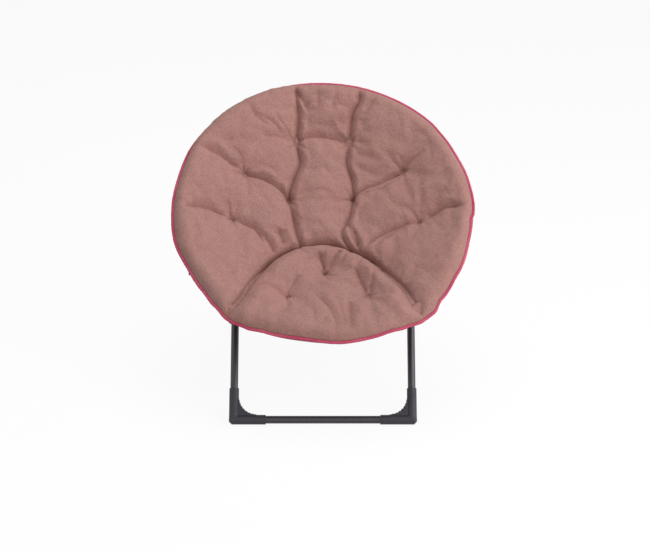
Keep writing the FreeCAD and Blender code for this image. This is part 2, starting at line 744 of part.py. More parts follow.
def tuft_buttons(label, frames):
    """Covered buttons, each with the tie that pulls it down through the cushion."""
    pieces = []
    for index, frame in enumerate(frames):
        name = "%s_%d" % (label, index + 1)
        button = bind(doc.addObject("Part::Ellipsoid", name + "_cap"), Radius1="Sizes.button_height / 2",
                      Radius2="Sizes.button_radius", Radius3="Sizes.button_radius")
        lift = -size("tuft_depth") + size("ear_gap") + size("button_height") / 2
        button.Placement = frame.multiply(Place(V(0, 0, lift), Turn()))
        low = -through_depth(frame) - size("cover_gap") - size("tuft_back_height")
        tie = cylinder(name + "_tie", "Sizes.tie_radius", repr(lift - low))
        tie.Placement = frame.multiply(Place(V(0, 0, low), Turn()))
        pieces.append(fuse(name, [button, tie]))
    return finish_node(fuse(label + "_set", pieces), label, rim_frame())


def tuft_backs(label, frames):
    """Discs under the sling that the ties are knotted over."""
    pieces = []
    for index, frame in enumerate(frames):
        name = "%s_%d" % (label, index + 1)
        low = -through_depth(frame) - size("cover_gap") - size("tuft_back_height")
        disc = cylinder(name + "_disc", "Sizes.tuft_back_radius", "Sizes.tuft_back_height")
        hole = cylinder(name + "_hole", "Sizes.tie_radius + Sizes.rivet_clearance",
                        "Sizes.tuft_back_height")
        for piece in (disc, hole):
            piece.Placement = frame.multiply(Place(V(0, 0, low), Turn()))
        pieces.append(cut(name, disc, [hole]))
    return finish_node(fuse(label + "_set", pieces), label, rim_frame())


# Front leg frame: its rail is under the sitter's knees and its uprights reach the back of the rim
front_lean = size("front_leg_lean")
rear_lean = size("rear_leg_lean")
ground_rail("front_ground_rail", "inner_leg_half", front_foot)
ground_rail("rear_ground_rail", "outer_leg_half", rear_foot)
for word, side in sides:
    leg_tube("front_leg_" + word, side, "inner_leg_half", "front_leg_pin", "front_leg_cross",
             front_leg_frame())
    leg_tube("rear_leg_" + word, side, "outer_leg_half", "rear_leg_pin", "rear_leg_cross",
             rear_leg_frame())
corner_feet("front_foot", "inner_leg_half", front_lean, front_leg_frame())
corner_feet("rear_foot", "outer_leg_half", rear_lean, rear_leg_frame())
leg_caps("front_leg_caps", "inner_leg_half", "front_leg_pin", front_leg_frame())
leg_caps("rear_leg_caps", "outer_leg_half", "rear_leg_pin", rear_leg_frame())

# Pins of the linkage
head_gap = "Sizes.head_gap"
rivet_pair("crossing_rivets", "Sizes.inner_leg_half - Sizes.leg_tube_radius - " + head_gap,
           "Sizes.outer_leg_half + Sizes.leg_tube_radius + " + head_gap,
           "Sizes.front_leg_cross", "0", front_leg_frame())
crossing_spacers("crossing_spacers", front_leg_frame())
rivet_pair("back_pivot_rivets", "Sizes.inner_leg_half - Sizes.leg_tube_radius - " + head_gap,
           "Sizes.inner_leg_half + Sizes.leg_tube_radius + Sizes.ear_gap + Sizes.ear_thickness + " + head_gap,
           "Sizes.front_leg_pin", "0", front_leg_frame())
rivet_pair("rear_leg_rivets", "Sizes.outer_leg_half - Sizes.leg_tube_radius - " + head_gap,
           "Sizes.outer_leg_half + Sizes.leg_tube_radius", "Sizes.rear_leg_pin", "0", rear_leg_frame(),
           heads=(True, False))
rivet_pair("front_ear_rivets", "Sizes.outer_leg_half + Sizes.leg_tube_radius + Sizes.ear_gap",
           "Sizes.outer_leg_half + Sizes.leg_tube_radius + Sizes.ear_gap + Sizes.ear_thickness",
           "-Sizes.front_pin_along", "-Sizes.pin_drop", rim_frame(), heads=(False, True))
rivet_pair("rim_hinge_pins", "Sizes.hinge_plane - Sizes.hinge_gap / 2 - Sizes.hinge_plate - " + head_gap,
           "Sizes.hinge_plane + Sizes.hinge_gap / 2 + Sizes.hinge_plate + " + head_gap,
           "-Sizes.hinge_along", "-Sizes.hinge_drop", rim_frame())

# The rim and its hinges
rim_tube("back_rim_tube", "inner_leg_half", (size("back_pin_along"), -size("pin_drop")),
         back_end_angle, "180 - 2 * Sizes.back_end_angle")
rim_tube("front_rim_tube", "outer_leg_half", (-size("front_pin_along"), -size("pin_drop")),
         180 - front_end_angle, "180 + 2 * Sizes.front_end_angle")
for word, side in sides:
    knuckle("back_knuckle_" + word, side, back_end_angle, 1, "Sizes.hinge_plane + Sizes.hinge_gap / 2")
    knuckle("front_knuckle_" + word, side, front_end_angle, -1,
            "Sizes.hinge_plane - Sizes.hinge_gap / 2 - Sizes.hinge_plate")

# Cushion, sling, piping and tufts
back_frames = tuft_frames(back_tufts)
seat_frames = tuft_frames(seat_tufts_paired + [seat_tuft_centre])
to_front, to_back = -90, 90
soft_node("back_cushion", cushion_section(to_front), True,
          tuft_cuts("back_cushion", back_frames + seat_frames[-1:]) + tie_holes("back_cushion", back_frames)
          + channel_cuts("back_channel") + hinge_room("back_cushion"))
soft_node("seat_cushion", cushion_section(to_back), False,
          tuft_cuts("seat_cushion", seat_frames) + tie_holes("seat_cushion", seat_frames)
          + hinge_room("seat_cushion"))
soft_node("back_sling", sling_section(to_front), True,
          tie_holes("back_sling", back_frames),
          hinge_room("back_sling") + ear_slots("back_sling", "inner_leg_half", "back_pin_along", True))
soft_node("seat_sling", sling_section(to_back), False,
          tie_holes("seat_sling", seat_frames),
          hinge_room("seat_sling") + ear_slots("seat_sling", "outer_leg_half", "front_pin_along", False))
piping("back_piping", True)
piping("seat_piping", False)
tuft_buttons("back_tuft_buttons", back_frames)
tuft_buttons("seat_tuft_buttons", seat_frames)
tuft_backs("back_tuft_discs", back_frames)
tuft_backs("seat_tuft_discs", seat_frames)

doc.recompute()
for obj in doc.Objects:
    if "Invalid" in obj.State or "Error" in obj.State:
        raise RuntimeError("%s failed: %s" % (obj.Name, obj.State))
for node in nodes:
    if node.Shape.isNull() or not node.Shape.isValid() or not node.Shape.Solids:
        raise RuntimeError("%s has no valid solid" % node.Label)

os.makedirs("parts", exist_ok=True)
for node in nodes:
    node.Shape.exportStep("parts/%s.step" % node.Label)
    bounds = node.Shape.BoundBox
    print("%-20s solids %2d  volume %10.0f  x %7.1f %7.1f  y %7.1f %7.1f  z %7.1f %7.1f" % (
        node.Label, len(node.Shape.Solids), node.Shape.Volume, bounds.XMin, bounds.XMax, bounds.YMin,
        bounds.YMax, bounds.ZMin, bounds.ZMax))
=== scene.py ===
import bpy
import bmesh
import json
import math
import numpy as np
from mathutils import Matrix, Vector


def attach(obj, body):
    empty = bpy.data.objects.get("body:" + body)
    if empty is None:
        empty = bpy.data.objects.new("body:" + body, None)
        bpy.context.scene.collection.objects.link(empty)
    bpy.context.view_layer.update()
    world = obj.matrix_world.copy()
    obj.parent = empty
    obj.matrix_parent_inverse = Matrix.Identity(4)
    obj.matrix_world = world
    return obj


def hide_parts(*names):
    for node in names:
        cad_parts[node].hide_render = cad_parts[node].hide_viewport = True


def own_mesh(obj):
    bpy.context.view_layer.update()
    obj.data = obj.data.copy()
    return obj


# Folding saucer chair: a tufted fleece pad and its piping on a tilted round rim, over two crossed
# tube leg frames. Metres. The pad is worked out in the rim's own frame (across, up the slope, off
# the rim's plane) and then tilted into place.

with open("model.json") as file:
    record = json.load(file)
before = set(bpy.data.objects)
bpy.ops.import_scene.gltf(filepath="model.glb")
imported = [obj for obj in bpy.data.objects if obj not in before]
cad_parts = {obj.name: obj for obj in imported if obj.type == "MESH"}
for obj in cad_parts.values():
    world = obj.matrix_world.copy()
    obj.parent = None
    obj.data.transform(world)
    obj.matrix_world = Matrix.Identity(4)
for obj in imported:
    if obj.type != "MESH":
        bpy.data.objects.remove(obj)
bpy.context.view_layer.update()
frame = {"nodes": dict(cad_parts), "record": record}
nodes = frame["nodes"]

rim = {"back": 0.002, "height": 0.477, "tilt": 34.3, "radius": 0.380, "split": -0.150}
tilt = math.radians(rim["tilt"])
rimCentre = np.array([0.0, rim["back"], rim["height"]])
rimAxes = np.array([[1.0, 0.0, 0.0], [0.0, math.cos(tilt), math.sin(tilt)],
                    [0.0, -math.sin(tilt), math.cos(tilt)]])


def fromRim(points):
    return rimCentre + np.asarray(points, float) @ rimAxes


def aroundRim(count):  # even angles, all the way round
    return np.linspace(-math.pi, math.pi, count, endpoint=False)


def smoothStep(value, low, high):
    share = np.clip((value - low) / (high - low), 0, 1)
    return share * share * (3 - 2 * share)


def throughPoints(points, steps):  # Catmull-Rom curve through the points
    p = np.asarray(points, float)
    p = np.vstack([2 * p[0] - p[1], p, 2 * p[-1] - p[-2]])
    t = np.linspace(0, 1, steps, endpoint=False)[:, None]
    runs = []
    for a, b, c, d in zip(p, p[1:], p[2:], p[3:]):
        runs.append(0.5 * (2 * b + (c - a) * t + (2 * a - 5 * b + 4 * c - d) * t**2
                           + (3 * b - a - 3 * c + d) * t**3))
    return np.vstack(runs + [p[-2:-1]])


def roundTable(rows, angles):  # values given round the rim in degrees, joined smoothly and closed
    rows = sorted(rows)
    places = np.array([row[0] for row in rows], float)
    places = np.concatenate([places - 360, places, places + 360])
    columns = []
    for column in range(1, len(rows[0])):
        values = np.tile([row[column] for row in rows], 3)
        near = np.degrees(angles)
        index = np.clip(np.searchsorted(places, near) - 1, 0, len(places) - 2)
        share = smoothStep(near, places[index], places[index + 1])
        columns.append(values[index] * (1 - share) + values[index + 1] * share)
    return columns


# Materials: one socket wrapped, so that shader maths reads as plain arithmetic
class Wire:
    def __init__(self, finish, socket):
        self.finish, self.socket = finish, socket

    def maths(self, operation, first, second):
        return self.finish.node("ShaderNodeMath", {"operation": operation}, {0: first, 1: second})

    def __add__(self, other):
        return self.maths("ADD", self, other)

    def __radd__(self, other):
        return self.maths("ADD", other, self)

    def __sub__(self, other):
        return self.maths("SUBTRACT", self, other)

    def __rsub__(self, other):
        return self.maths("SUBTRACT", other, self)

    def __mul__(self, other):
        return self.maths("MULTIPLY", self, other)

    def __rmul__(self, other):
        return self.maths("MULTIPLY", other, self)


class Finish:
    def __init__(self, name):
        self.material = bpy.data.materials.new(name)
        self.material.use_nodes = True
        self.tree = self.material.node_tree
        self.shader = self.tree.nodes["Principled BSDF"]

    def node(self, kind, settings=None, inputs=None, output=0):
        made = self.tree.nodes.new(kind)
        for name, value in (settings or {}).items():
            setattr(made, name, value)
        for name, value in (inputs or {}).items():
            self.feed(made.inputs[name], value)
        return Wire(self, made.outputs[output])

    def feed(self, socket, value):
        if isinstance(value, Wire):
            self.tree.links.new(value.socket, socket)
        else:
            socket.default_value = value

    def coords(self):
        return self.node("ShaderNodeTexCoord", output="Object")

    def noise(self, scale, detail=2.0, rough=0.5, where=None):
        return self.node("ShaderNodeTexNoise", {}, {"Vector": where or self.coords(), "Scale": scale,
                                                    "Detail": detail, "Roughness": rough})

    def mix(self, share, first, second):
        return self.node("ShaderNodeMix", {"data_type": "RGBA"}, {0: share, 6: first, 7: second}, 2)

    def spread(self, value, low, high):  # value between two limits, stretched to 0 and 1
        return self.node("ShaderNodeMapRange", {}, {"Value": value, "From Min": low, "From Max": high})

    def bump(self, height, strength, distance):
        return self.node("ShaderNodeBump", {}, {"Height": height, "Strength": strength, "Distance": distance})

    def surface(self, **values):
        for name, value in values.items():
            self.feed(self.shader.inputs[name.replace("_", " ")], value)
        return self.material


def linearTone(tone, shift=0):  # screen colour, 0 to 255 and made lighter or darker, as a linear one
    levels = [c + shift for c in tone]
    return (*[c / 255 / 12.92 if c <= 10 else ((c / 255 + 0.055) / 1.055) ** 2.4 for c in levels], 1.0)


# deep is the darker tone painted into creases, tuft pits and the seam as shade
fleece = {"tone": (166, 124, 117), "deep": (128, 78, 66), "worn": (160, 112, 101), "pale": (186, 148, 142),
          "sheen": (225, 196, 190), "curl": 0.0056, "nap": 0.0019, "height": 0.0015}


def fleeceFinish():
    f = Finish("dustyFleece")
    curls = f.node("ShaderNodeTexVoronoi", {"feature": "SMOOTH_F1"},
                   {"Vector": f.coords(), "Scale": 1 / fleece["curl"], "Smoothness": 0.6})
    nap = f.noise(1 / fleece["nap"], 3.0, 0.65)
    patches = f.noise(11.0, 3.0, 0.55)
    streaks = f.noise(70.0, 2.0, 0.6)
    fold = f.node("ShaderNodeAttribute", {"attribute_name": "fold"}, output="Fac")
    shade = f.spread(curls * 0.55 + nap * 0.45, 0.22, 0.62)
    tone = f.mix(shade * 0.55, linearTone(fleece["tone"], 8), linearTone(fleece["tone"], -22))
    tone = f.mix(f.spread(patches, 0.35, 0.68) * 0.30, tone, linearTone(fleece["worn"]))
    tone = f.mix(f.spread(streaks, 0.4, 0.7) * 0.10, tone, linearTone(fleece["pale"]))
    # painted shade: the pad is darkened towards the deep tone in creases, tuft pits and the seam
    tone = f.mix(fold * 0.85, tone, linearTone(fleece["deep"]))
    rough = 0.93 - shade * 0.08
    height = (1 - curls) * 0.7 + nap * 0.5
    return f.surface(Base_Color=tone, Roughness=rough, Sheen_Weight=0.25, Sheen_Roughness=0.6,
                     Sheen_Tint=linearTone(fleece["sheen"]), Specular_IOR_Level=0.15,
                     Normal=f.bump(height, 0.9, fleece["height"]))


def weaveFinish(name, tone, deep, pitch, height, rough, worn):
    f = Finish(name)
    bands = 1 / pitch / 6.283 * 3.14  # in the wave texture's own measure
    thread = {"Vector": f.coords(), "Scale": bands, "Distortion": 0.6, "Detail": 1.0}
    across, down = [f.node("ShaderNodeTexWave", {"bands_direction": way}, thread) for way in "XZ"]
    cloth = across * down
    patches = f.noise(9.0, 3.0, 0.6)
    slubs = f.noise(160.0, 2.0, 0.6)
    colour = f.mix(cloth * 0.45, linearTone(deep), linearTone(tone))
    colour = f.mix(f.spread(patches, 0.35, 0.7) * 0.35, colour, linearTone(worn))
    colour = f.mix(f.spread(slubs, 0.5, 0.8) * 0.15, colour, linearTone(worn))
    return f.surface(Base_Color=colour, Roughness=rough + slubs * 0.06, Specular_IOR_Level=0.25,
                     Normal=f.bump(cloth + slubs * 0.4, 0.6, height))


def paintFinish(name, tone, rough, coat):
    f = Finish(name)
    orangePeel = f.noise(420.0, 2.0, 0.5)
    dust = f.noise(38.0, 4.0, 0.6)
    scuff = f.spread(f.noise(95.0, 5.0, 0.75), 0.62, 0.78)
    colour = f.mix(f.spread(dust, 0.4, 0.75) * 0.20, linearTone(tone), linearTone(tone, 16))
    return f.surface(Base_Color=colour, Metallic=0.55, Roughness=rough + dust * 0.06 + scuff * 0.08,
                     Coat_Weight=coat, Coat_Roughness=0.12, Normal=f.bump(orangePeel, 0.12, 0.0004))


def plasticFinish(name, tone, rough, grain):
    f = Finish(name)
    pebble = f.noise(900.0, 2.0, 0.6)
    wear = f.spread(f.noise(26.0, 4.0, 0.65), 0.45, 0.75)
    colour = f.mix(wear * 0.25, linearTone(tone), linearTone(tone, 14))
    return f.surface(Base_Color=colour, Roughness=rough + wear * 0.08,
                     Specular_IOR_Level=0.45, Normal=f.bump(pebble, 0.35, grain))


def metalFinish(name, tone, rough):
    f = Finish(name)
    grain = f.noise(300.0, 3.0, 0.6)
    stain = f.spread(f.noise(60.0, 3.0, 0.6), 0.4, 0.7)
    colour = f.mix(stain * 0.35, linearTone(tone), linearTone(tone, -30))
    return f.surface(Base_Color=colour, Metallic=1.0, Roughness=rough + stain * 0.15,
                     Normal=f.bump(grain, 0.15, 0.0003))


finishes = {
    "fleece": fleeceFinish(),
    "piping_cloth": weaveFinish("raspberryPiping", (226, 96, 126), (182, 62, 92), 0.0011, 0.0004, 0.72,
                                (236, 128, 152)),
    "backing_cloth": weaveFinish("backingCloth", (176, 128, 120), (140, 94, 86), 0.0013, 0.0004, 0.82,
                                 (186, 142, 134)),
    "graphite_paint": paintFinish("graphitePaint", (58, 55, 60), 0.36, 0.12),
    "hinge_paint": paintFinish("hingePaint", (44, 42, 47), 0.40, 0.15),
    "foot_plastic": plasticFinish("footPlastic", (45, 42, 50), 0.55, 0.0002),
    "nylon": plasticFinish("blackNylon", (34, 34, 36), 0.45, 0.0001),
    "rivet_steel": metalFinish("zincSteel", (168, 168, 172), 0.34),
    "tuft_plastic": plasticFinish("tuftDisc", (120, 84, 80), 0.5, 0.0001),
    "button": weaveFinish("buttonCloth", (172, 128, 120), (132, 88, 80), 0.0009, 0.0003, 0.85,
                          (184, 142, 134)),
    "thread": weaveFinish("seamThread", (196, 110, 124), (150, 70, 88), 0.0006, 0.0002, 0.7, (210, 140, 150)),
}
print("finishes", len(finishes))

slotOf = {s["node"]: s["material_slot"] for s in frame["record"]["subparts"]}
for name, obj in nodes.items():
    obj.data.materials.clear()
    obj.data.materials.append(finishes[slotOf[name]])


def meshPiece(name, points, faces, finish, smooth=True):
    mesh = bpy.data.meshes.new(name)
    mesh.from_pydata([tuple(p) for p in points], [], [tuple(f) for f in faces])
    mesh.update()
    if smooth:
        mesh.shade_smooth()
    mesh.materials.append(finishes[finish])
    obj = bpy.data.objects.new(name, mesh)
    bpy.context.scene.collection.objects.link(obj)
    return obj


def outwards(obj):  # every face points out of the closed shape
    made = bmesh.new()
    made.from_mesh(obj.data)
    bmesh.ops.recalc_face_normals(made, faces=made.faces)
    made.to_mesh(obj.data)
    made.free()


# Edge of the pad: round the rim in degrees from the right, millimetres out from the rim and off its plane
edge = {
    "turn": 40,            # where the piping lies round the rim tube, up from straight outwards
    "sleeve": 0.0124,      # outside of the sleeve round the tube
    "pipe": 0.0040,
    "shape": [(-180, -1, 0), (-164, 3, 0), (-152, -1, 0), (-141, 2, -1), (-133, 8, -5), (-126, 15, -12),
              (-119, 11, -7), (-111, 4, -2), (-98, 0, 0), (-81, 10, -2), (-66, 11, -3), (-59, 17, -8),
              (-53, 25, -13), (-48, 25, -13), (-42, 13, -5), (-30, 5, 0), (-12, -4, 1), (-6, -6, 3),
              (-3, -1, 1), (1, 0, 0), (12, -3, 0), (25, -7, 3), (35, -5, 2), (44, 0, 0), (60, 0, 0),
              (80, 2, 0), (107, 5, 0), (130, 4, 0), (150, 3, 0), (168, -3, 0)],
    "puff": [(-180, 0), (-120, 0), (-60, 0), (0, 0), (60, 0), (92, 0), (112, 7), (132, 8),
             (148, 5), (162, 0)],
}


def edgeCourse(angles):  # piping's centre round the rim: radius and height off the plane
    out, lift = [column / 1000 for column in roundTable(edge["shape"], angles)]
    reach = edge["sleeve"] + edge["pipe"]
    turn = math.radians(edge["turn"])
    radius = rim["radius"] + reach * math.cos(turn) + out
    height = reach * math.sin(turn) + lift
    beside = radius - rim["radius"]
    least = np.sqrt(np.clip(reach**2 - beside**2, 0, None))
    return radius, np.where(height > -0.004, np.maximum(height, least), height)


# Tufts and folds of the pad, in millimetres across and up the slope from the rim's centre
tufts = {
    "back": [(-70, 235), (70, 236), (-88, 75), (77, 76), (-205, 134), (-236, -5), (210, 139), (249, -17)],
    "seat": [(5, -154), (-89, -240), (115, -242)],
    "depth": 15.0, "pit": 6.5, "dimple": 25.0, "pillow": 15.0,
}
# depth, half width, then the points; a fold dies out at both ends unless it is marked as running on
creases = [
    ("on", 9, 6.0, [(-72, 375), (-69, 334), (-66, 292), (-70, 235), (-62, 177), (-79, 123), (-88, 74),
                   (-79, 17), (-70, -33), (-61, -66)]),
    ("on", 8, 6.0, [(101, 369), (96, 334), (80, 309), (74, 276), (70, 235), (62, 177),
                   (76, 123), (79, 74), (69, 18), (53, -17), (50, -43), (59, -64), (78, -87)]),
    ("on", 5, 6, [(-70, 237), (-38, 248), (-3, 251), (30, 244), (69, 235)]),
    ("on", 2, 14, [(-88, 74), (-8, 69), (76, 74)]),
    ("in", 5, 8, [(-330, 187), (-282, 176), (-258, 164), (-233, 148), (-205, 135)]),
    ("in", 3, 9, [(-240, 204), (-217, 174), (-205, 138)]),
    ("on", 6, 6.5, [(-205, 133), (-164, 127), (-132, 111), (-107, 93), (-90, 74)]),
    ("in", 3, 12, [(-201, 127), (-173, 96), (-150, 61), (-131, 13)]),
    ("in", 6, 7.5, [(-366, -4), (-324, 12), (-294, 12), (-263, 4), (-236, -5)]),
    ("in", 3, 9, [(-250, 48), (-242, 14), (-237, -3)]),
    ("in", 6, 7, [(-236, -6), (-192, -20), (-167, -47), (-155, -80)]),
    ("in", 5, 7, [(-160, -41), (-139, -71), (-124, -110)]),
    ("in", 5, 9, [(-116, -21), (-99, -76)]),
    ("on", 6, 6, [(210, 137), (155, 114), (114, 101), (78, 77)]),
    ("in", 4, 5, [(205, 119), (154, 96), (123, 89), (90, 77)]),
    ("in", 4, 9, [(211, 135), (239, 164), (275, 181)]),
    ("in", 3, 8, [(209, 137), (211, 181)]),
    ("in", 6, 7.5, [(249, -17), (214, -22), (177, -33), (143, -51), (121, -69), (109, -102)]),
    ("in", 4, 7, [(214, -33), (181, -45), (154, -67), (133, -100)]),
    ("in", 6, 7.5, [(250, -18), (303, 4), (333, 5), (372, -3)]),
    ("in", 3, 10, [(251, -14), (260, 28), (266, 75)]),
    ("in", 6, 6, [(78, -16), (87, -51), (94, -94)]),
    ("in", 5, 6, [(60, 21), (77, -42), (101, -98)]),
    ("in", 5, 7, [(-76, 367), (-54, 342), (-40, 311)]),
    ("in", 4, 7, [(-198, 323), (-184, 292), (-165, 277), (-134, 265)]),
    ("in", 4, 7, [(-164, 293), (-134, 275), (-109, 249)]),
    ("in", 4, 6, [(-132, 303), (-102, 268), (-76, 239)]),
    ("in", 3, 8, [(-168, 240), (-121, 241), (-74, 236)]),
    ("in", 3, 7, [(-14, 369), (-11, 321)]),
    ("in", 3, 7, [(36, 367), (24, 315)]),
    ("in", 3, 8, [(150, 351), (112, 293)]),
    ("in", 5, 7, [(-12, -98), (-1, -130), (5, -155)]),
    ("in", 5, 7, [(5, -155), (30, -115), (54, -84)]),
    ("in", 3, 7, [(6, -157), (14, -202)]),
    ("in", 4, 7, [(-89, -240), (-80, -208), (-63, -178)]),
    ("in", 3, 10, [(-92, -238), (-130, -221), (-180, -219)]),
    ("in", 5, 7, [(114, -242), (97, -193), (84, -154)]),
    ("in", 4, 7, [(115, -240), (129, -191), (140, -156)]),
    ("in", 4, 6, [(88, -158), (107, -110)]),
    ("in", 4, 6, [(45, -138), (70, -92)]),
    ("in", 4, 9, [(-24, -240), (10, -287), (29, -335), (36, -372)]),
    ("in", 4, 9, [(67, -260), (71, -341), (74, -374)]),
    ("in", 3, 8, [(34, -258), (53, -325), (58, -372)]),
]
# the deep join between the back of the pad and the seat of it
seam = {"depth": 19.0, "half": 6.0, "swell": 12.0,
        "line": [(-283, -392), (-243, -322), (-230, -300), (-207, -262), (-178, -194), (-133, -125),
                 (-97, -90), (-65, -74), (-18, -62), (31, -66), (79, -89), (118, -112), (145, -141),
                 (183, -194), (209, -237), (230, -287), (262, -335), (300, -388)]}


def nearLine(places, line, reach):  # distance to a line of points, share of the way along it, and the side
    best = np.full(len(places), 1e3)
    along = np.zeros(len(places))
    side = np.zeros(len(places))
    close = np.all((places > line.min(axis=0) - reach) & (places < line.max(axis=0) + reach), axis=1)
    spots = places[close]
    distance, share, turn = np.full(len(spots), 1e3), np.zeros(len(spots)), np.zeros(len(spots))
    lengths = np.linalg.norm(np.diff(line, axis=0), axis=1)
    starts = np.concatenate([[0], np.cumsum(lengths)])
    for index, (first, last) in enumerate(zip(line, line[1:])):
        run = last - first
        away = spots - first
        part = np.clip(away @ run / (run @ run), 0, 1)
        gap = away - part[:, None] * run
        here = np.hypot(gap[:, 0], gap[:, 1])
        closer = here < distance
        distance = np.where(closer, here, distance)
        share = np.where(closer, (starts[index] + part * lengths[index]) / starts[-1], share)
        turn = np.where(closer, np.sign(run[0] * gap[:, 1] - run[1] * gap[:, 0]), turn)
    best[close], along[close], side[close] = distance, share, turn
    return best, along, side


def lumps(places, seed, low, high, count):  # soft uneven stuffing: plane waves of mixed length
    chance = np.random.default_rng(seed)
    total = np.zeros(len(places))
    for _ in range(count):
        angle, phase = chance.uniform(0, 2 * math.pi, 2)
        length = chance.uniform(low, high)
        way = np.array([math.cos(angle), math.sin(angle)])
        total += np.sin(places @ way * 2 * math.pi / length + phase)
    return total / math.sqrt(count)


def padRelief(places):  # millimetres added to the plain dish, a mask for painted shade in the creases, tuft pits and seam, distance to what is sewn
    bent = places + 2.5 * np.stack([lumps(places, 3, 60, 140, 8), lumps(places, 4, 60, 140, 8)], axis=1)
    height = 2.4 * lumps(places, 11, 70, 190, 14) + 1.0 * lumps(places, 12, 26, 60, 18)
    # painted shade mask: highest at the bottom of each crease, tuft pit and the seam
    fold = np.zeros(len(places))
    nearest = np.full(len(places), 1e3)
    for ends, depth, half, points in creases:
        line = throughPoints(points, 5)
        distance, along, side = nearLine(bent * 0.3 + places * 0.7, line, 150 if depth >= 5 else 60)
        fade = np.ones(len(places)) if ends == "on" else np.clip(1.25 * np.sin(math.pi * along) ** 0.6, 0, 1)
        sharp = np.exp(-(distance / half) ** 2) * 0.45 + np.exp(-distance / (1.4 * half)) * 0.55
        height -= 1.1 * depth * fade * sharp
        swell = np.exp(-((distance - 2.6 * half) / (1.6 * half)) ** 2) * (1 + 0.5 * side)
        height += 0.34 * depth * fade * swell
        fold = np.maximum(fold, np.clip(depth / 11, 0.25, 1) * fade * np.exp(-(distance / (0.5 * half)) ** 2))
        if depth >= 5:
            nearest = np.minimum(nearest, distance + 60 * (1 - fade))
    for u, v in tufts["back"] + tufts["seat"]:
        away = places - np.array([u, v])
        distance = np.hypot(away[:, 0], away[:, 1])
        angle = np.arctan2(away[:, 1], away[:, 0])
        rays = 1 + 0.35 * np.sin(5 * angle + u) * smoothStep(distance, 4, 16) + 0.2 * np.sin(9 * angle + v)
        height -= tufts["depth"] * (0.5 * np.exp(-(distance / tufts["pit"]) ** 2)
                                    + 0.6 * np.exp(-distance / tufts["dimple"]) * rays)
        fold = np.maximum(fold, np.exp(-(distance / 5.5) ** 2))
        nearest = np.minimum(nearest, distance)
    distance, along, side = nearLine(places, throughPoints(seam["line"], 5), 150)
    height -= seam["depth"] * (0.6 * np.exp(-(distance / seam["half"]) ** 2) + 0.5 * np.exp(-distance / 16))
    height += seam["swell"] * np.exp(-((distance - 32) / 26) ** 2) * np.where(side < 0, 1.0, 0.45)
    fold = np.maximum(fold, np.exp(-(distance / (0.6 * seam["half"])) ** 2))
    nearest = np.minimum(nearest, distance)
    height += tufts["pillow"] * (0.62 - np.exp(-nearest / 40))
    return height, fold, nearest


# The pad's section, from the middle of its top over the edge to the middle of its under side
pad = {
    "around": 700, "fine": 0.0026,
    "top": [(0.003, -0.0620), (0.060, -0.0603), (0.120, -0.0545), (0.180, -0.0443), (0.240, -0.0293),
            (0.290, -0.0115), (0.325, 0.0052), (0.350, 0.0180), (0.366, 0.0245), (0.3765, 0.0245),
            (0.3845, 0.0195), (0.3885, 0.0142)],
    "under": [(0.3870, 0.0120), (0.3830, 0.0118), (0.3790, 0.0115), (0.3745, 0.0100), (0.3700, 0.0052),
              (0.3680, 0.0000), (0.3592, -0.0010)],
    "bowl": 0.3632, "bowlDepth": 0.100, "bowlPower": 1.25, "underRows": 16,
    "anchor": 0.012, "keep": 0.16, "gather": 0.6,  # anchor: a height; keep: a share
    "tuckIn": 0.0030, "tuckUp": 0.0026,            # how the pad's edge meets the piping
    "pullFrom": 0.300, "puffFrom": (0.335, 0.374), "puffTo": 0.384, "calmTo": (0.356, 0.3885),
    "puckers": ((67, 0.5), (93, 0.4), (131, 0.3), (41, 0.5)),
}


def bowlHeight(radii):  # under side of the pad, off the rim's plane
    return -pad["bowlDepth"] * (1 - np.clip(radii / pad["bowl"], 0, 1) ** 2) ** pad["bowlPower"]


def padSection():
    rough = throughPoints(pad["top"], 24)
    reach = np.concatenate([[0], np.cumsum(np.linalg.norm(np.diff(rough, axis=0), axis=1))])
    even = np.linspace(0, reach[-1], int(reach[-1] / pad["fine"]))
    top = np.stack([np.interp(even, reach, rough[:, 0]), np.interp(even, reach, rough[:, 1])], axis=1)
    lower = np.linspace(0.352, 0.003, pad["underRows"])
    under = np.vstack([pad["under"], np.stack([lower, bowlHeight(lower)], axis=1)])
    return np.vstack([top, under]), len(top)


# Stuffing: the cover blown up by cloth simulation on an even lattice, held where it is sewn
stuffing = {"cell": 5.0, "reach": 0.377, "sewn": 7.0, "pressure": 2.4, "slack": -0.016, "frames": 20,
            "cap": 9.0, "share": 0.75, "hem": (0.345, 0.358), "quality": 6, "mass": 0.25, "damping": 3.0,
            "stiff": 12, "bend": 0.6}


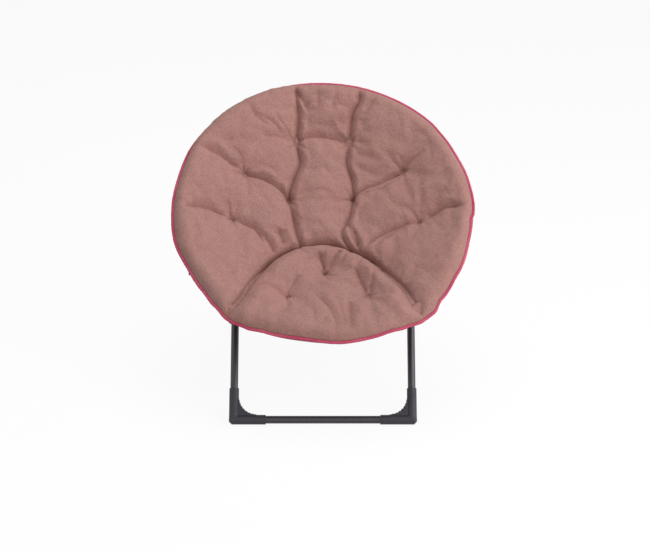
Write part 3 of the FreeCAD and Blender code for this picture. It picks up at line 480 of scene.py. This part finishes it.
def blowUp():  # how far the filled cover moves from the plain one, in metres, on the lattice
    side = int(2 * stuffing["reach"] * 1000 / stuffing["cell"]) + 1
    ticks = np.linspace(-stuffing["reach"], stuffing["reach"], side)
    u, v = np.meshgrid(ticks, ticks, indexing="ij")
    flat = np.stack([u.ravel(), v.ravel()], axis=1)
    radius = np.hypot(flat[:, 0], flat[:, 1])
    section, topRows = padSection()
    relief, _, nearest = padRelief(flat * 1000)
    height = np.interp(radius, section[:topRows, 0], section[:topRows, 1]) + relief / 1000
    points = np.column_stack([flat, height])
    index = np.arange(side * side).reshape(side, side)
    faces = np.stack([index[:-1, :-1], index[1:, :-1], index[1:, 1:], index[:-1, 1:]], axis=-1).reshape(-1, 4)
    faces = faces[np.all(radius[faces] < stuffing["reach"], axis=1)]
    mesh = bpy.data.meshes.new("cover")
    mesh.from_pydata([tuple(q) for q in points], [], [tuple(int(i) for i in f) for f in faces])
    cover = bpy.data.objects.new("cover", mesh)
    bpy.context.scene.collection.objects.link(cover)
    held = cover.vertex_groups.new(name="sewn")
    grip = np.clip(1.15 - (nearest / stuffing["sewn"]) ** 2 * 0.5, 0, 1)
    grip = np.maximum(grip, smoothStep(radius, *stuffing["hem"]))
    for vertex, weight in enumerate(grip):
        if weight > 0.01:
            held.add([vertex], float(weight), "REPLACE")
    cloth = cover.modifiers.new("cloth", "CLOTH")
    feel = cloth.settings
    feel.quality, feel.mass, feel.air_damping = stuffing["quality"], stuffing["mass"], stuffing["damping"]
    feel.tension_stiffness = feel.compression_stiffness = feel.shear_stiffness = stuffing["stiff"]
    feel.bending_stiffness = stuffing["bend"]
    feel.vertex_group_mass, feel.pin_stiffness = "sewn", 1.0
    feel.use_pressure, feel.uniform_pressure_force = True, stuffing["pressure"]
    feel.shrink_min = stuffing["slack"]
    feel.effector_weights.gravity = 0
    cloth.collision_settings.use_self_collision = False
    cloth.point_cache.frame_start, cloth.point_cache.frame_end = 1, stuffing["frames"]
    scene = bpy.context.scene
    for frameNumber in range(1, stuffing["frames"] + 1):
        scene.frame_set(frameNumber)
    solved = cover.evaluated_get(bpy.context.evaluated_depsgraph_get()).data
    moved = np.empty(len(points) * 3)
    solved.vertices.foreach_get("co", moved)
    shift = moved.reshape(-1, 3) - points
    length = np.linalg.norm(shift, axis=1)
    cap = stuffing["cap"] / 1000
    shift *= (np.minimum(length, cap) / np.maximum(length, 1e-9))[:, None]
    shift[radius >= stuffing["reach"]] = 0
    scene.frame_set(1)
    bpy.data.objects.remove(cover)
    print("stuffing", side, "moved up to", round(float(length.max()) * 1000, 1), "mm, mean",
          round(float(length.mean()) * 1000, 2))
    return ticks, shift.reshape(side, side, 3)


def onLattice(blown, places):  # the lattice's moves, read smoothly at any place
    ticks, shift = blown
    step = ticks[1] - ticks[0]
    spot = np.clip((places - ticks[0]) / step, 0, len(ticks) - 1.001)
    low = spot.astype(int)
    part = spot - low
    a, b = low[:, 0], low[:, 1]
    s, t = part[:, :1], part[:, 1:]
    return (shift[a, b] * (1 - s) * (1 - t) + shift[a + 1, b] * s * (1 - t)
            + shift[a, b + 1] * (1 - s) * t + shift[a + 1, b + 1] * s * t)


def padMesh():
    section, topRows = padSection()
    angles = aroundRim(pad["around"])
    rows, around = len(section), len(angles)
    slope = np.gradient(section, axis=0)
    slope /= np.linalg.norm(slope, axis=1)[:, None]
    normal = np.stack([-slope[:, 1], slope[:, 0]], axis=1)
    pipeRadius, pipeHeight = edgeCourse(angles)
    seamPoint = section[topRows - 1]
    outward = pipeRadius - pad["tuckIn"] - seamPoint[0]
    upward = pipeHeight + pad["tuckUp"] - seamPoint[1]
    puff = roundTable(edge["puff"], angles)[0] / 1000
    onTop = np.arange(rows) < topRows
    plainRadius, plainHeight = section[:, 0], section[:, 1]
    edgeRadius = seamPoint[0]
    pull = np.where(onTop, smoothStep(plainRadius, pad["pullFrom"], edgeRadius),
                    smoothStep(plainRadius, 0.379, 0.387))
    falling = smoothStep(plainRadius, pad["puffTo"], edgeRadius)
    bulge = np.where(onTop, smoothStep(plainRadius, *pad["puffFrom"]) * (1 - falling), 0)
    radius = plainRadius[:, None] + pull[:, None] * outward + bulge[:, None] * puff
    height = plainHeight[:, None] + pull[:, None] * upward + 0.5 * bulge[:, None] * puff
    u = radius * np.cos(angles)
    v = radius * np.sin(angles)
    places = np.stack([u.ravel(), v.ravel()], axis=1) * 1000
    relief, fold, _ = padRelief(places)
    relief = relief.reshape(rows, around) / 1000
    fold = fold.reshape(rows, around)
    calm = np.where(onTop, 1 - smoothStep(plainRadius, *pad["calmTo"]), 0)[:, None]
    pucker = sum(np.sin(angles * n + n) * share for n, share in pad["puckers"])
    nearEdge = smoothStep(plainRadius, 0.350, 0.377) * (1 - smoothStep(plainRadius, 0.383, edgeRadius))
    gathers = np.where(onTop, nearEdge, 0)[:, None] * pucker * pad["gather"] / 1000
    move = relief * calm + gathers
    radius = radius + move * normal[:, :1]
    height = height + move * normal[:, 1:]
    # the painted crease shade fades out towards the pad's edge
    fold = fold * np.clip(calm * 6, 0, 1)
    points = np.stack([radius * np.cos(angles), radius * np.sin(angles), height], axis=2).reshape(-1, 3)
    blown = blowUp()
    if blown:
        loose = np.repeat(calm[:, 0] ** 0.7, around)[:, None]
        points += stuffing["share"] * onLattice(blown, places / 1000) * loose
    topMiddle = points[:around].mean(axis=0)
    lowMiddle = points[-around:].mean(axis=0)
    points = np.vstack([points, topMiddle, lowMiddle])
    faces = []
    for r in range(rows - 1):
        a = r * around
        for i in range(around):
            j = (i + 1) % around
            faces.append((a + i, a + around + i, a + around + j, a + j))
    last = (rows - 1) * around
    for i in range(around):
        j = (i + 1) % around
        faces.append((rows * around, i, j))
        faces.append((last + j, last + i, rows * around + 1))
    return points, faces, np.concatenate([fold.ravel(), [fold[0].mean(), 0]])


def splitPiece(name, whole, keepBack):  # one side of the cut where the rim folds
    made = bmesh.new()
    made.from_mesh(whole)
    place = Vector(fromRim([[0, rim["split"], 0]])[0])
    way = Vector(rimAxes[1]) * (1 if keepBack else -1)
    result = bmesh.ops.bisect_plane(made, geom=made.verts[:] + made.edges[:] + made.faces[:], dist=1e-6,
                                    plane_co=place, plane_no=-way, clear_outer=True)
    cutEdges = [e for e in result["geom_cut"] if isinstance(e, bmesh.types.BMEdge)]
    filled = bmesh.ops.triangle_fill(made, use_beauty=True, use_dissolve=False, edges=cutEdges, normal=-way)
    for face in filled["geom"]:
        if isinstance(face, bmesh.types.BMFace):
            face.smooth = False
    for e in cutEdges:
        if e.is_valid:
            e.smooth = False
    mesh = bpy.data.meshes.new(name)
    made.to_mesh(mesh)
    made.free()
    for material in whole.materials:
        mesh.materials.append(material)
    obj = bpy.data.objects.new(name, mesh)
    bpy.context.scene.collection.objects.link(obj)
    return obj


def halves(whole, names):  # one piece for each side of the split, riding on its own rim
    made = []
    for name, body, back in ((names[0], "back_rim", True), (names[1], "seat_rim", False)):
        piece = splitPiece(name, whole.data, back)
        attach(piece, body)
        made.append(piece)
    bpy.data.objects.remove(whole)
    return made


def flatten(obj):  # gives the piece a mesh of its own
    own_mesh(obj)


points, faces, fold = padMesh()
wholePad = meshPiece("wholePad", fromRim(points), faces, "fleece")
outwards(wholePad)
# the painted crease shade mask goes on the pad as a point attribute
attribute = wholePad.data.attributes.new("fold", "FLOAT", "POINT")
attribute.data.foreach_set("value", fold.astype(np.float32))
for piece, node in zip(halves(wholePad, ("backPad", "seatPad")), ("back_cushion", "seat_cushion")):
    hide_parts(node)
    flatten(piece)
print("pad", len(points))


# The bowl cloth under the pad, turned round the rim tube as a sleeve and sewn to the piping
sling = {
    "around": 400, "bowlRows": 46, "thick": 0.0016, "under": 0.0007, "innerLip": 189, "outerEnd": 40,
    "sleeveRows": 26, "wrinkle": 1.6, "anchor": -0.002, "slotHalf": 0.026, "slotFrom": 205, "slotTo": 318,
    "flatWide": {"back_sling": 0.78, "seat_sling": 0.68}, "flatFill": 0.8,
    "waves": ((19, 0.5), (31, 0.6), (47, 0.5), (61, 0.35)), "tight": (0.20, 0.35), "slack": (0.3555, 0.3640),
    "ears": [(0.2418, 0.2800), (-0.2418, 0.2800), (0.2718, -0.2430), (-0.2718, -0.2430)],
}


def slingSurface(drop, off):  # one face of the cloth: drop under the pad, off the tube's centre
    angles = aroundRim(sling["around"])
    radii = np.linspace(0.002, 0.3615, sling["bowlRows"])
    heights = bowlHeight(radii) - drop
    turn = np.radians(np.linspace(sling["innerLip"], 360 + sling["outerEnd"], sling["sleeveRows"]))
    radii = np.concatenate([radii, rim["radius"] + off * np.cos(turn)])
    heights = np.concatenate([heights, off * np.sin(turn)])
    pull = np.concatenate([np.zeros(sling["bowlRows"]), smoothStep(np.degrees(turn), 275, 400)])
    pipeRadius, pipeHeight = edgeCourse(angles)
    plainTurn = math.radians(sling["outerEnd"])
    reach = edge["sleeve"] + edge["pipe"]
    out = pipeRadius - rim["radius"] - reach * math.cos(plainTurn)
    lift = pipeHeight - reach * math.sin(plainTurn)
    radius = radii[:, None] + pull[:, None] * out
    height = heights[:, None] + pull[:, None] * lift
    beside, above = radius - rim["radius"], height
    gap = np.hypot(beside, above)
    onSleeve = (np.arange(len(radii)) >= sling["bowlRows"])[:, None]
    push = np.where(onSleeve & (gap < off), off / np.maximum(gap, 1e-6), 1)
    radius = rim["radius"] + beside * push
    height = above * push
    tight = smoothStep(radii, *sling["tight"]) * (1 - smoothStep(radii, *sling["slack"]))
    waves = sum(np.sin(angles * n + 1.7 * n) * share for n, share in sling["waves"])
    u, v = radius * np.cos(angles), radius * np.sin(angles)
    sag = lumps(np.stack([u.ravel(), v.ravel()], axis=1) * 1000, 21, 80, 200, 12).reshape(radius.shape)
    height = height - (tight[:, None] * (waves + 1.6) * sling["wrinkle"] / 1000
                       + np.where(onSleeve, 0, 1) * (sag + 2.2) * 0.0006)
    return np.stack([u, v, height], axis=2), np.degrees(turn)


def slingMesh(part):  # the bowl, or the sleeve round its tube with its slots, as a closed sheet of cloth
    upper, turn = slingSurface(sling["under"], edge["sleeve"] - sling["thick"])
    lower, _ = slingSurface(sling["under"] + sling["thick"], edge["sleeve"])
    bowl = sling["bowlRows"]
    if part == "bowl":
        upper, lower = upper[:bowl], lower[:bowl]
    else:
        upper, lower = upper[bowl - 1:], lower[bowl - 1:]
    rows, around = upper.shape[:2]
    count = rows * around
    points = np.vstack([upper.reshape(-1, 3), lower.reshape(-1, 3)])
    cell = np.zeros((rows - 1, around), bool)
    if part == "sleeve":
        for u, v in sling["ears"]:
            away = np.abs((aroundRim(around) - math.atan2(v, u) + math.pi) % (2 * math.pi) - math.pi)
            deep = (turn > sling["slotFrom"]) & (turn < sling["slotTo"])
            cell |= deep[:, None] & (away < sling["slotHalf"] / rim["radius"])[None, :]
    faces = []
    for r in range(rows - 1):
        for i in range(around):
            if cell[r, i]:
                continue
            j = (i + 1) % around
            a, b, c, d = r * around + i, r * around + j, (r + 1) * around + j, (r + 1) * around + i
            faces.append((a, b, c, d))
            faces.append((count + d, count + c, count + b, count + a))
            beside = ((a, b, r - 1, i), (b, c, r, j), (c, d, r + 1, i), (d, a, r, (i - 1) % around))
            for first, last, row, column in beside:
                if row < 0 and part == "bowl":
                    continue
                if row < 0 or row >= rows - 1 or cell[row, column]:
                    faces.append((last, first, count + first, count + last))
    if part == "bowl":  # close the middle of both faces
        points = np.vstack([points, upper[0].mean(axis=0), lower[0].mean(axis=0)])
        for i in range(around):
            j = (i + 1) % around
            faces.append((2 * count, j, i))
            faces.append((count + i, count + j, 2 * count + 1))
    return points, faces


def halves(whole, names, finish=None):  # one piece for each side of the split, riding on its own rim
    made = []
    for name, body, back in ((names[0], "back_rim", True), (names[1], "seat_rim", False)):
        piece = splitPiece(name, whole.data, back)
        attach(piece, body)
        made.append(piece)
    bpy.data.objects.remove(whole)
    return made


for part in ("sleeve", "bowl"):
    slingPoints, slingFaces = slingMesh(part)
    whole = meshPiece("whole_" + part, fromRim(slingPoints), slingFaces, "backing_cloth")
    outwards(whole)
    for piece, node in zip(halves(whole, ("back_" + part, "seat_" + part)), ("back_sling", "seat_sling")):
        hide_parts(node)
        if part == "sleeve":
            continue
        flatten(piece)


# Piping: a covered cord all round, with the pull of its stitches every few millimetres
pipe = {"around": 900, "sides": 14, "uneven": 0.05}


def pipeMesh():
    angles = aroundRim(pipe["around"])
    radius, height = edgeCourse(angles)
    chance = np.random.default_rng(7)
    uneven = sum(np.sin(angles * n + chance.uniform(0, 6.28)) * 0.5 for n in (151, 223, 97, 61))
    thick = edge["pipe"] * (1 + pipe["uneven"] * uneven)
    turns = np.linspace(0, 2 * math.pi, pipe["sides"], endpoint=False)
    r = radius[:, None] + thick[:, None] * np.cos(turns)
    w = height[:, None] + thick[:, None] * np.sin(turns)
    points = np.stack([r * np.cos(angles)[:, None], r * np.sin(angles)[:, None], w], axis=2).reshape(-1, 3)
    sides, faces = pipe["sides"], []
    for i in range(len(angles)):
        here, there = i * sides, (i + 1) % len(angles) * sides
        for k in range(sides):
            m = (k + 1) % sides
            faces.append((here + k, there + k, there + m, here + m))
    return points, faces


pipePoints, pipeFaces = pipeMesh()
wholePipe = meshPiece("wholePiping", fromRim(pipePoints), pipeFaces, "piping_cloth")
outwards(wholePipe)
for piece, node in zip(halves(wholePipe, ("backPiping", "seatPiping")), ("back_piping", "seat_piping")):
    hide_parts(node)
print("piping", len(pipePoints))


# Geometry Nodes for what repeats: one small tree for each kind of repeat, with its sizes as inputs
class Repeat:
    def __init__(self, name, sizes):
        self.tree = bpy.data.node_groups.new(name, "GeometryNodeTree")
        face = self.tree.interface
        face.new_socket("Geometry", in_out="INPUT", socket_type="NodeSocketGeometry")
        self.sizes = []
        for title, value in sizes.items():
            kind = "NodeSocketInt" if isinstance(value, int) else "NodeSocketFloat"
            made = face.new_socket(title, in_out="INPUT", socket_type=kind)
            made.default_value = value
            self.sizes.append((made.identifier, value))
        face.new_socket("Geometry", in_out="OUTPUT", socket_type="NodeSocketGeometry")
        self.start = self.tree.nodes.new("NodeGroupInput")
        self.end = self.tree.nodes.new("NodeGroupOutput")

    def node(self, kind, settings=None, inputs=None):
        made = self.tree.nodes.new(kind)
        for name, value in (settings or {}).items():
            setattr(made, name, value)
        for name, value in (inputs or {}).items():
            if isinstance(value, bpy.types.NodeSocket):
                self.tree.links.new(value, made.inputs[name])
            else:
                made.inputs[name].default_value = value
        return made.outputs[0]

    def size(self, title):
        return self.start.outputs[title]

    def scaled(self, shape, *sizes, move=None):  # a shape of size 1 brought to its three sizes
        inputs = {"Geometry": shape, "Scale": self.node("ShaderNodeCombineXYZ", {}, dict(zip("XYZ", sizes)))}
        if move is not None:
            inputs["Translation"] = self.node("ShaderNodeCombineXYZ", {}, {"Z": move})
        return self.node("GeometryNodeTransform", {}, inputs)

    def ball(self, segments, rings):  # of radius 1
        return self.node("GeometryNodeMeshUVSphere", {},
                         {"Radius": 1.0, "Segments": segments, "Rings": rings})

    def lean(self):  # the way that each point of the carrier faces
        return self.node("GeometryNodeInputNamedAttribute", {"data_type": "FLOAT_VECTOR"}, {"Name": "lean"})

    def standOn(self, points, shape, way):  # the shape at every point, its top turned that way
        smooth = self.node("GeometryNodeSetShadeSmooth", {}, {"Geometry": shape})
        turn = self.node("FunctionNodeAlignRotationToVector", {"axis": "Z"}, {"Vector": way})
        return self.node("GeometryNodeInstanceOnPoints", {},
                         {"Points": points, "Instance": smooth, "Rotation": turn})

    def finish(self, geometry, material):  # plain mesh with its material
        real = self.node("GeometryNodeRealizeInstances", {}, {0: geometry})
        dressed = self.node("GeometryNodeSetMaterial", {}, {"Geometry": real, "Material": material})
        self.tree.links.new(dressed, self.end.inputs[0])

    def apply(self, name, carrier, body):
        modifier = carrier.modifiers.new("repeat", "NODES")
        modifier.node_group = self.tree
        for identifier, value in self.sizes:
            modifier[identifier] = value
        graph = bpy.context.evaluated_depsgraph_get()
        mesh = bpy.data.meshes.new_from_object(carrier.evaluated_get(graph))
        mesh.name = name
        obj = bpy.data.objects.new(name, mesh)
        bpy.context.scene.collection.objects.link(obj)
        bpy.data.objects.remove(carrier)
        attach(obj, body)
        return obj


def carrierOf(name, places, normals, edges=()):  # bare points, or a line, that a repeat stands on
    mesh = bpy.data.meshes.new(name)
    mesh.from_pydata([tuple(q) for q in places], list(edges), [])
    lean = mesh.attributes.new("lean", "FLOAT_VECTOR", "POINT")
    lean.data.foreach_set("vector", np.asarray(normals, np.float32).ravel())
    obj = bpy.data.objects.new(name, mesh)
    bpy.context.scene.collection.objects.link(obj)
    return obj


# Covered buttons at the bottom of the tufts
button = {"Radius": 0.0056, "Rise": 0.0030, "Segments": 24, "sink": 0.0012}


def buttonTree():
    t = Repeat("coveredButtons", {k: button[k] for k in ("Radius", "Rise", "Segments")})
    dome = t.scaled(t.ball(t.size("Segments"), 14), t.size("Radius"), t.size("Radius"), t.size("Rise"))
    t.finish(t.standOn(t.start.outputs[0], dome, t.lean()), finishes["button"])
    return t


def padPoint(u, v):  # point of the pad's top at the bottom of a tuft, and the way it faces
    near = np.array([[u, v], [u + 14, v], [u - 14, v], [u, v + 14], [u, v - 14]], float)
    section, topRows = padSection()
    height = np.interp(np.hypot(near[:, 0], near[:, 1]) / 1000, section[:topRows, 0], section[:topRows, 1])
    relief = padRelief(near[:1])[0][0] / 1000
    slopeU = (height[1] - height[2]) / 0.028
    slopeV = (height[3] - height[4]) / 0.028
    normal = np.array([-slopeU, -slopeV, 1.0])
    normal /= np.linalg.norm(normal)
    return np.array([u / 1000, v / 1000, height[0] + relief]) + normal * button["sink"], normal @ rimAxes


def dressTufts(tree, place, label):  # one repeat at each tuft, on both halves
    for side, body in (("back", "back_rim"), ("seat", "seat_rim")):
        found = [place(u, v) for u, v in tufts[side]]
        carrier = carrierOf(side + label + "Points", fromRim([f[0] for f in found]), [f[1] for f in found])
        piece = tree.apply(side + label, carrier, body)
        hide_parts(side + "_tuft_" + label.lower())
        flatten(piece)


dressTufts(buttonTree(), padPoint, "Buttons")

# Discs under the bowl, each with the knot of its tie
disc = {"Radius": 0.0090, "Rise": 0.0017, "Knot": 0.0024, "Segments": 32, "drop": 0.0028}


def discTree():
    t = Repeat("tieDiscs", {k: disc[k] for k in ("Radius", "Rise", "Knot", "Segments")})
    ball = t.ball(t.size("Segments"), 12)
    plate = t.scaled(ball, t.size("Radius"), t.size("Radius"), t.size("Rise"))
    knot = t.scaled(ball, t.size("Knot"), t.size("Knot"), t.size("Knot"), move=t.size("Rise"))
    both = t.node("GeometryNodeJoinGeometry")
    for one in (plate, knot):
        t.tree.links.new(one, both.node.inputs[0])
    t.finish(t.standOn(t.start.outputs[0], both, t.lean()), finishes["tuft_plastic"])
    return t


def underPoint(u, v):  # where a tuft's tie comes out under the bowl, in the rim's frame
    place, lean = padPoint(u, v)
    way = -(lean @ rimAxes.T)
    for _ in range(400):
        reach = np.hypot(place[0], place[1])
        if place[2] < bowlHeight(reach) - sling["under"] - sling["thick"] - disc["drop"]:
            break
        place = place + way * 0.0005
    return place, way @ rimAxes


dressTufts(discTree(), underPoint, "Discs")

# Stitches: two rows round the sleeve's inner seam
stitch = {"Length": 0.0042, "Pitch": 0.0070, "Thread": 0.00045}
seamRows = {"count": 720, "radius": 0.3575, "proud": 0.0002, "gap": 0.003,
            "inward": {"innerSeam": 0.0, "outerSeam": 0.007}}


def stitchTree():
    t = Repeat("runningStitches", stitch)
    course = t.node("GeometryNodeMeshToCurve", {}, {0: t.start.outputs[0]})
    spaced = t.node("GeometryNodeResampleCurve", {"mode": "LENGTH"},
                    {"Curve": course, "Length": t.size("Pitch")})
    thread = t.ball(6, 5)
    half = t.node("ShaderNodeMath", {"operation": "MULTIPLY"}, {0: t.size("Length"), 1: 0.5})
    one = t.scaled(thread, t.size("Thread"), t.size("Thread"), half)
    t.finish(t.standOn(spaced, one, t.node("GeometryNodeInputTangent")), finishes["thread"])
    return t


def stitchRow(name, course, back):  # a line of stitches on one side of the split
    past = course[:, 1] - rim["split"]
    keep = past > seamRows["gap"] if back else past < -seamRows["gap"]
    first = int(np.flatnonzero(keep & ~np.roll(keep, 1))[0])
    run = np.roll(course, -first, axis=0)[:int(keep.sum())]
    edges = [(i, i + 1) for i in range(len(run) - 1)]
    carrier = carrierOf(name + "Line", fromRim(run), np.zeros((len(run), 3)), edges)
    piece = stitches.apply(name, carrier, "back_rim" if back else "seat_rim")
    flatten(piece)


stitches = stitchTree()
seamAngles = aroundRim(seamRows["count"])
drop = sling["under"] + sling["thick"] + seamRows["proud"]
course, _ = slingSurface(drop, edge["sleeve"])
bowlRows = course[:sling["bowlRows"]]
bowlRadii = np.hypot(bowlRows[:, 0, 0], bowlRows[:, 0, 1])
columns = np.linspace(0, course.shape[1], seamRows["count"], endpoint=False).astype(int)
for name, inward in seamRows["inward"].items():
    radius = seamRows["radius"] - inward
    heights = [np.interp(radius, bowlRadii, bowlRows[:, k, 2]) for k in columns]
    line = np.column_stack([radius * np.cos(seamAngles), radius * np.sin(seamAngles), heights])
    for back in (True, False):
        stitchRow(name + ("Back" if back else "Seat"), line, back)
print("buttons, discs and stitches")


# Camera at the photograph's height, and soft light from the right and the front
view = {"place": (0.0053, -4.514, 2.430), "aim": (0.0053, 0.003, 0.2858), "lens": 104.2, "sensor": 36.0}
camera = bpy.data.objects.new("camera", bpy.data.cameras.new("camera"))
camera.location = view["place"]
camera.rotation_euler = (Vector(view["aim"]) - Vector(view["place"])).to_track_quat("-Z", "Y").to_euler()
camera.data.lens, camera.data.sensor_width = view["lens"], view["sensor"]
bpy.context.scene.collection.objects.link(camera)
bpy.context.scene.camera = camera

lamps = {
    "key": {"place": (2.6, -2.0, 2.4), "size": 2.4, "power": 60, "tint": (1.0, 0.985, 0.96)},
    "right": {"place": (3.1, -0.7, 0.9), "size": 1.2, "power": 26, "tint": (1.0, 0.99, 0.98)},
    "front": {"place": (-0.4, -3.4, 1.5), "size": 1.8, "power": 12, "tint": (1.0, 1.0, 1.0)},
    "left": {"place": (-2.4, -0.6, 1.9), "size": 1.8, "power": 5, "tint": (0.97, 0.985, 1.0)},
    "top": {"place": (0.2, 0.2, 3.0), "size": 1.8, "power": 34, "tint": (0.98, 0.99, 1.0)},
}
for name, lamp in lamps.items():
    light = bpy.data.lights.new(name, "AREA")
    light.size, light.energy, light.color = lamp["size"], lamp["power"], lamp["tint"]
    obj = bpy.data.objects.new(name, light)
    obj.location = lamp["place"]
    obj.rotation_euler = (Vector((0, 0, 0.35)) - Vector(lamp["place"])).to_track_quat("-Z", "Y").to_euler()
    bpy.context.scene.collection.objects.link(obj)

room = {"glow": 0.26, "floorKeep": 0.10, "white": 1.02}
world = bpy.data.worlds.new("studio")
bpy.context.scene.world = world
world.use_nodes = True
tree = world.node_tree
tree.nodes.clear()
shades = []
for strength in (room["glow"], 1.0):  # light on the chair, and white where it is looked at
    shade = tree.nodes.new("ShaderNodeBackground")
    shade.inputs["Color"].default_value = (1, 1, 1, 1)
    shade.inputs["Strength"].default_value = strength
    shades.append(shade)
rays = tree.nodes.new("ShaderNodeLightPath")
clear, through = tree.nodes.new("ShaderNodeMath"), tree.nodes.new("ShaderNodeMath")
clear.operation = through.operation = "MAXIMUM"
choose, out = tree.nodes.new("ShaderNodeMixShader"), tree.nodes.new("ShaderNodeOutputWorld")
links = ((rays.outputs["Is Camera Ray"], clear.inputs[0]),
         (rays.outputs["Is Glossy Ray"], clear.inputs[1]),
         (clear.outputs[0], through.inputs[0]),
         (rays.outputs["Is Transmission Ray"], through.inputs[1]),
         (through.outputs[0], choose.inputs[0]),
         (shades[0].outputs[0], choose.inputs[1]),
         (shades[1].outputs[0], choose.inputs[2]),
         (choose.outputs[0], out.inputs[0]))
for start, end in links:
    tree.links.new(start, end)


def floorFinish():
    f = Finish("paleFloor")
    cloudy = f.noise(1.2, 2.0, 0.5)
    f.surface(Base_Color=f.mix(cloudy * 0.05, (0.86, 0.86, 0.86, 1), (0.83, 0.83, 0.83, 1)), Roughness=0.9,
              Specular_IOR_Level=0.1)
    glow = f.node("ShaderNodeEmission", {}, {"Color": (1, 1, 1, 1), "Strength": room["white"]})
    camera, glossy, clear = [f.node("ShaderNodeLightPath", output="Is %s Ray" % kind)
                             for kind in ("Camera", "Glossy", "Transmission")]
    share = (camera + glossy + clear) * (1 - room["floorKeep"])
    both = f.node("ShaderNodeMixShader", {}, {0: share, 1: Wire(f, f.shader.outputs[0]), 2: glow})
    f.tree.links.new(both.socket, f.tree.nodes["Material Output"].inputs["Surface"])
    return f.material


finishes["floor"] = floorFinish()
floor = meshPiece("floor", [(-6, -6, 0), (6, -6, 0), (6, 6, 0), (-6, 6, 0)], [(0, 1, 2, 3)], "floor", False)
bpy.context.scene.view_settings.view_transform = "Standard"
print("camera, lamps and floor")
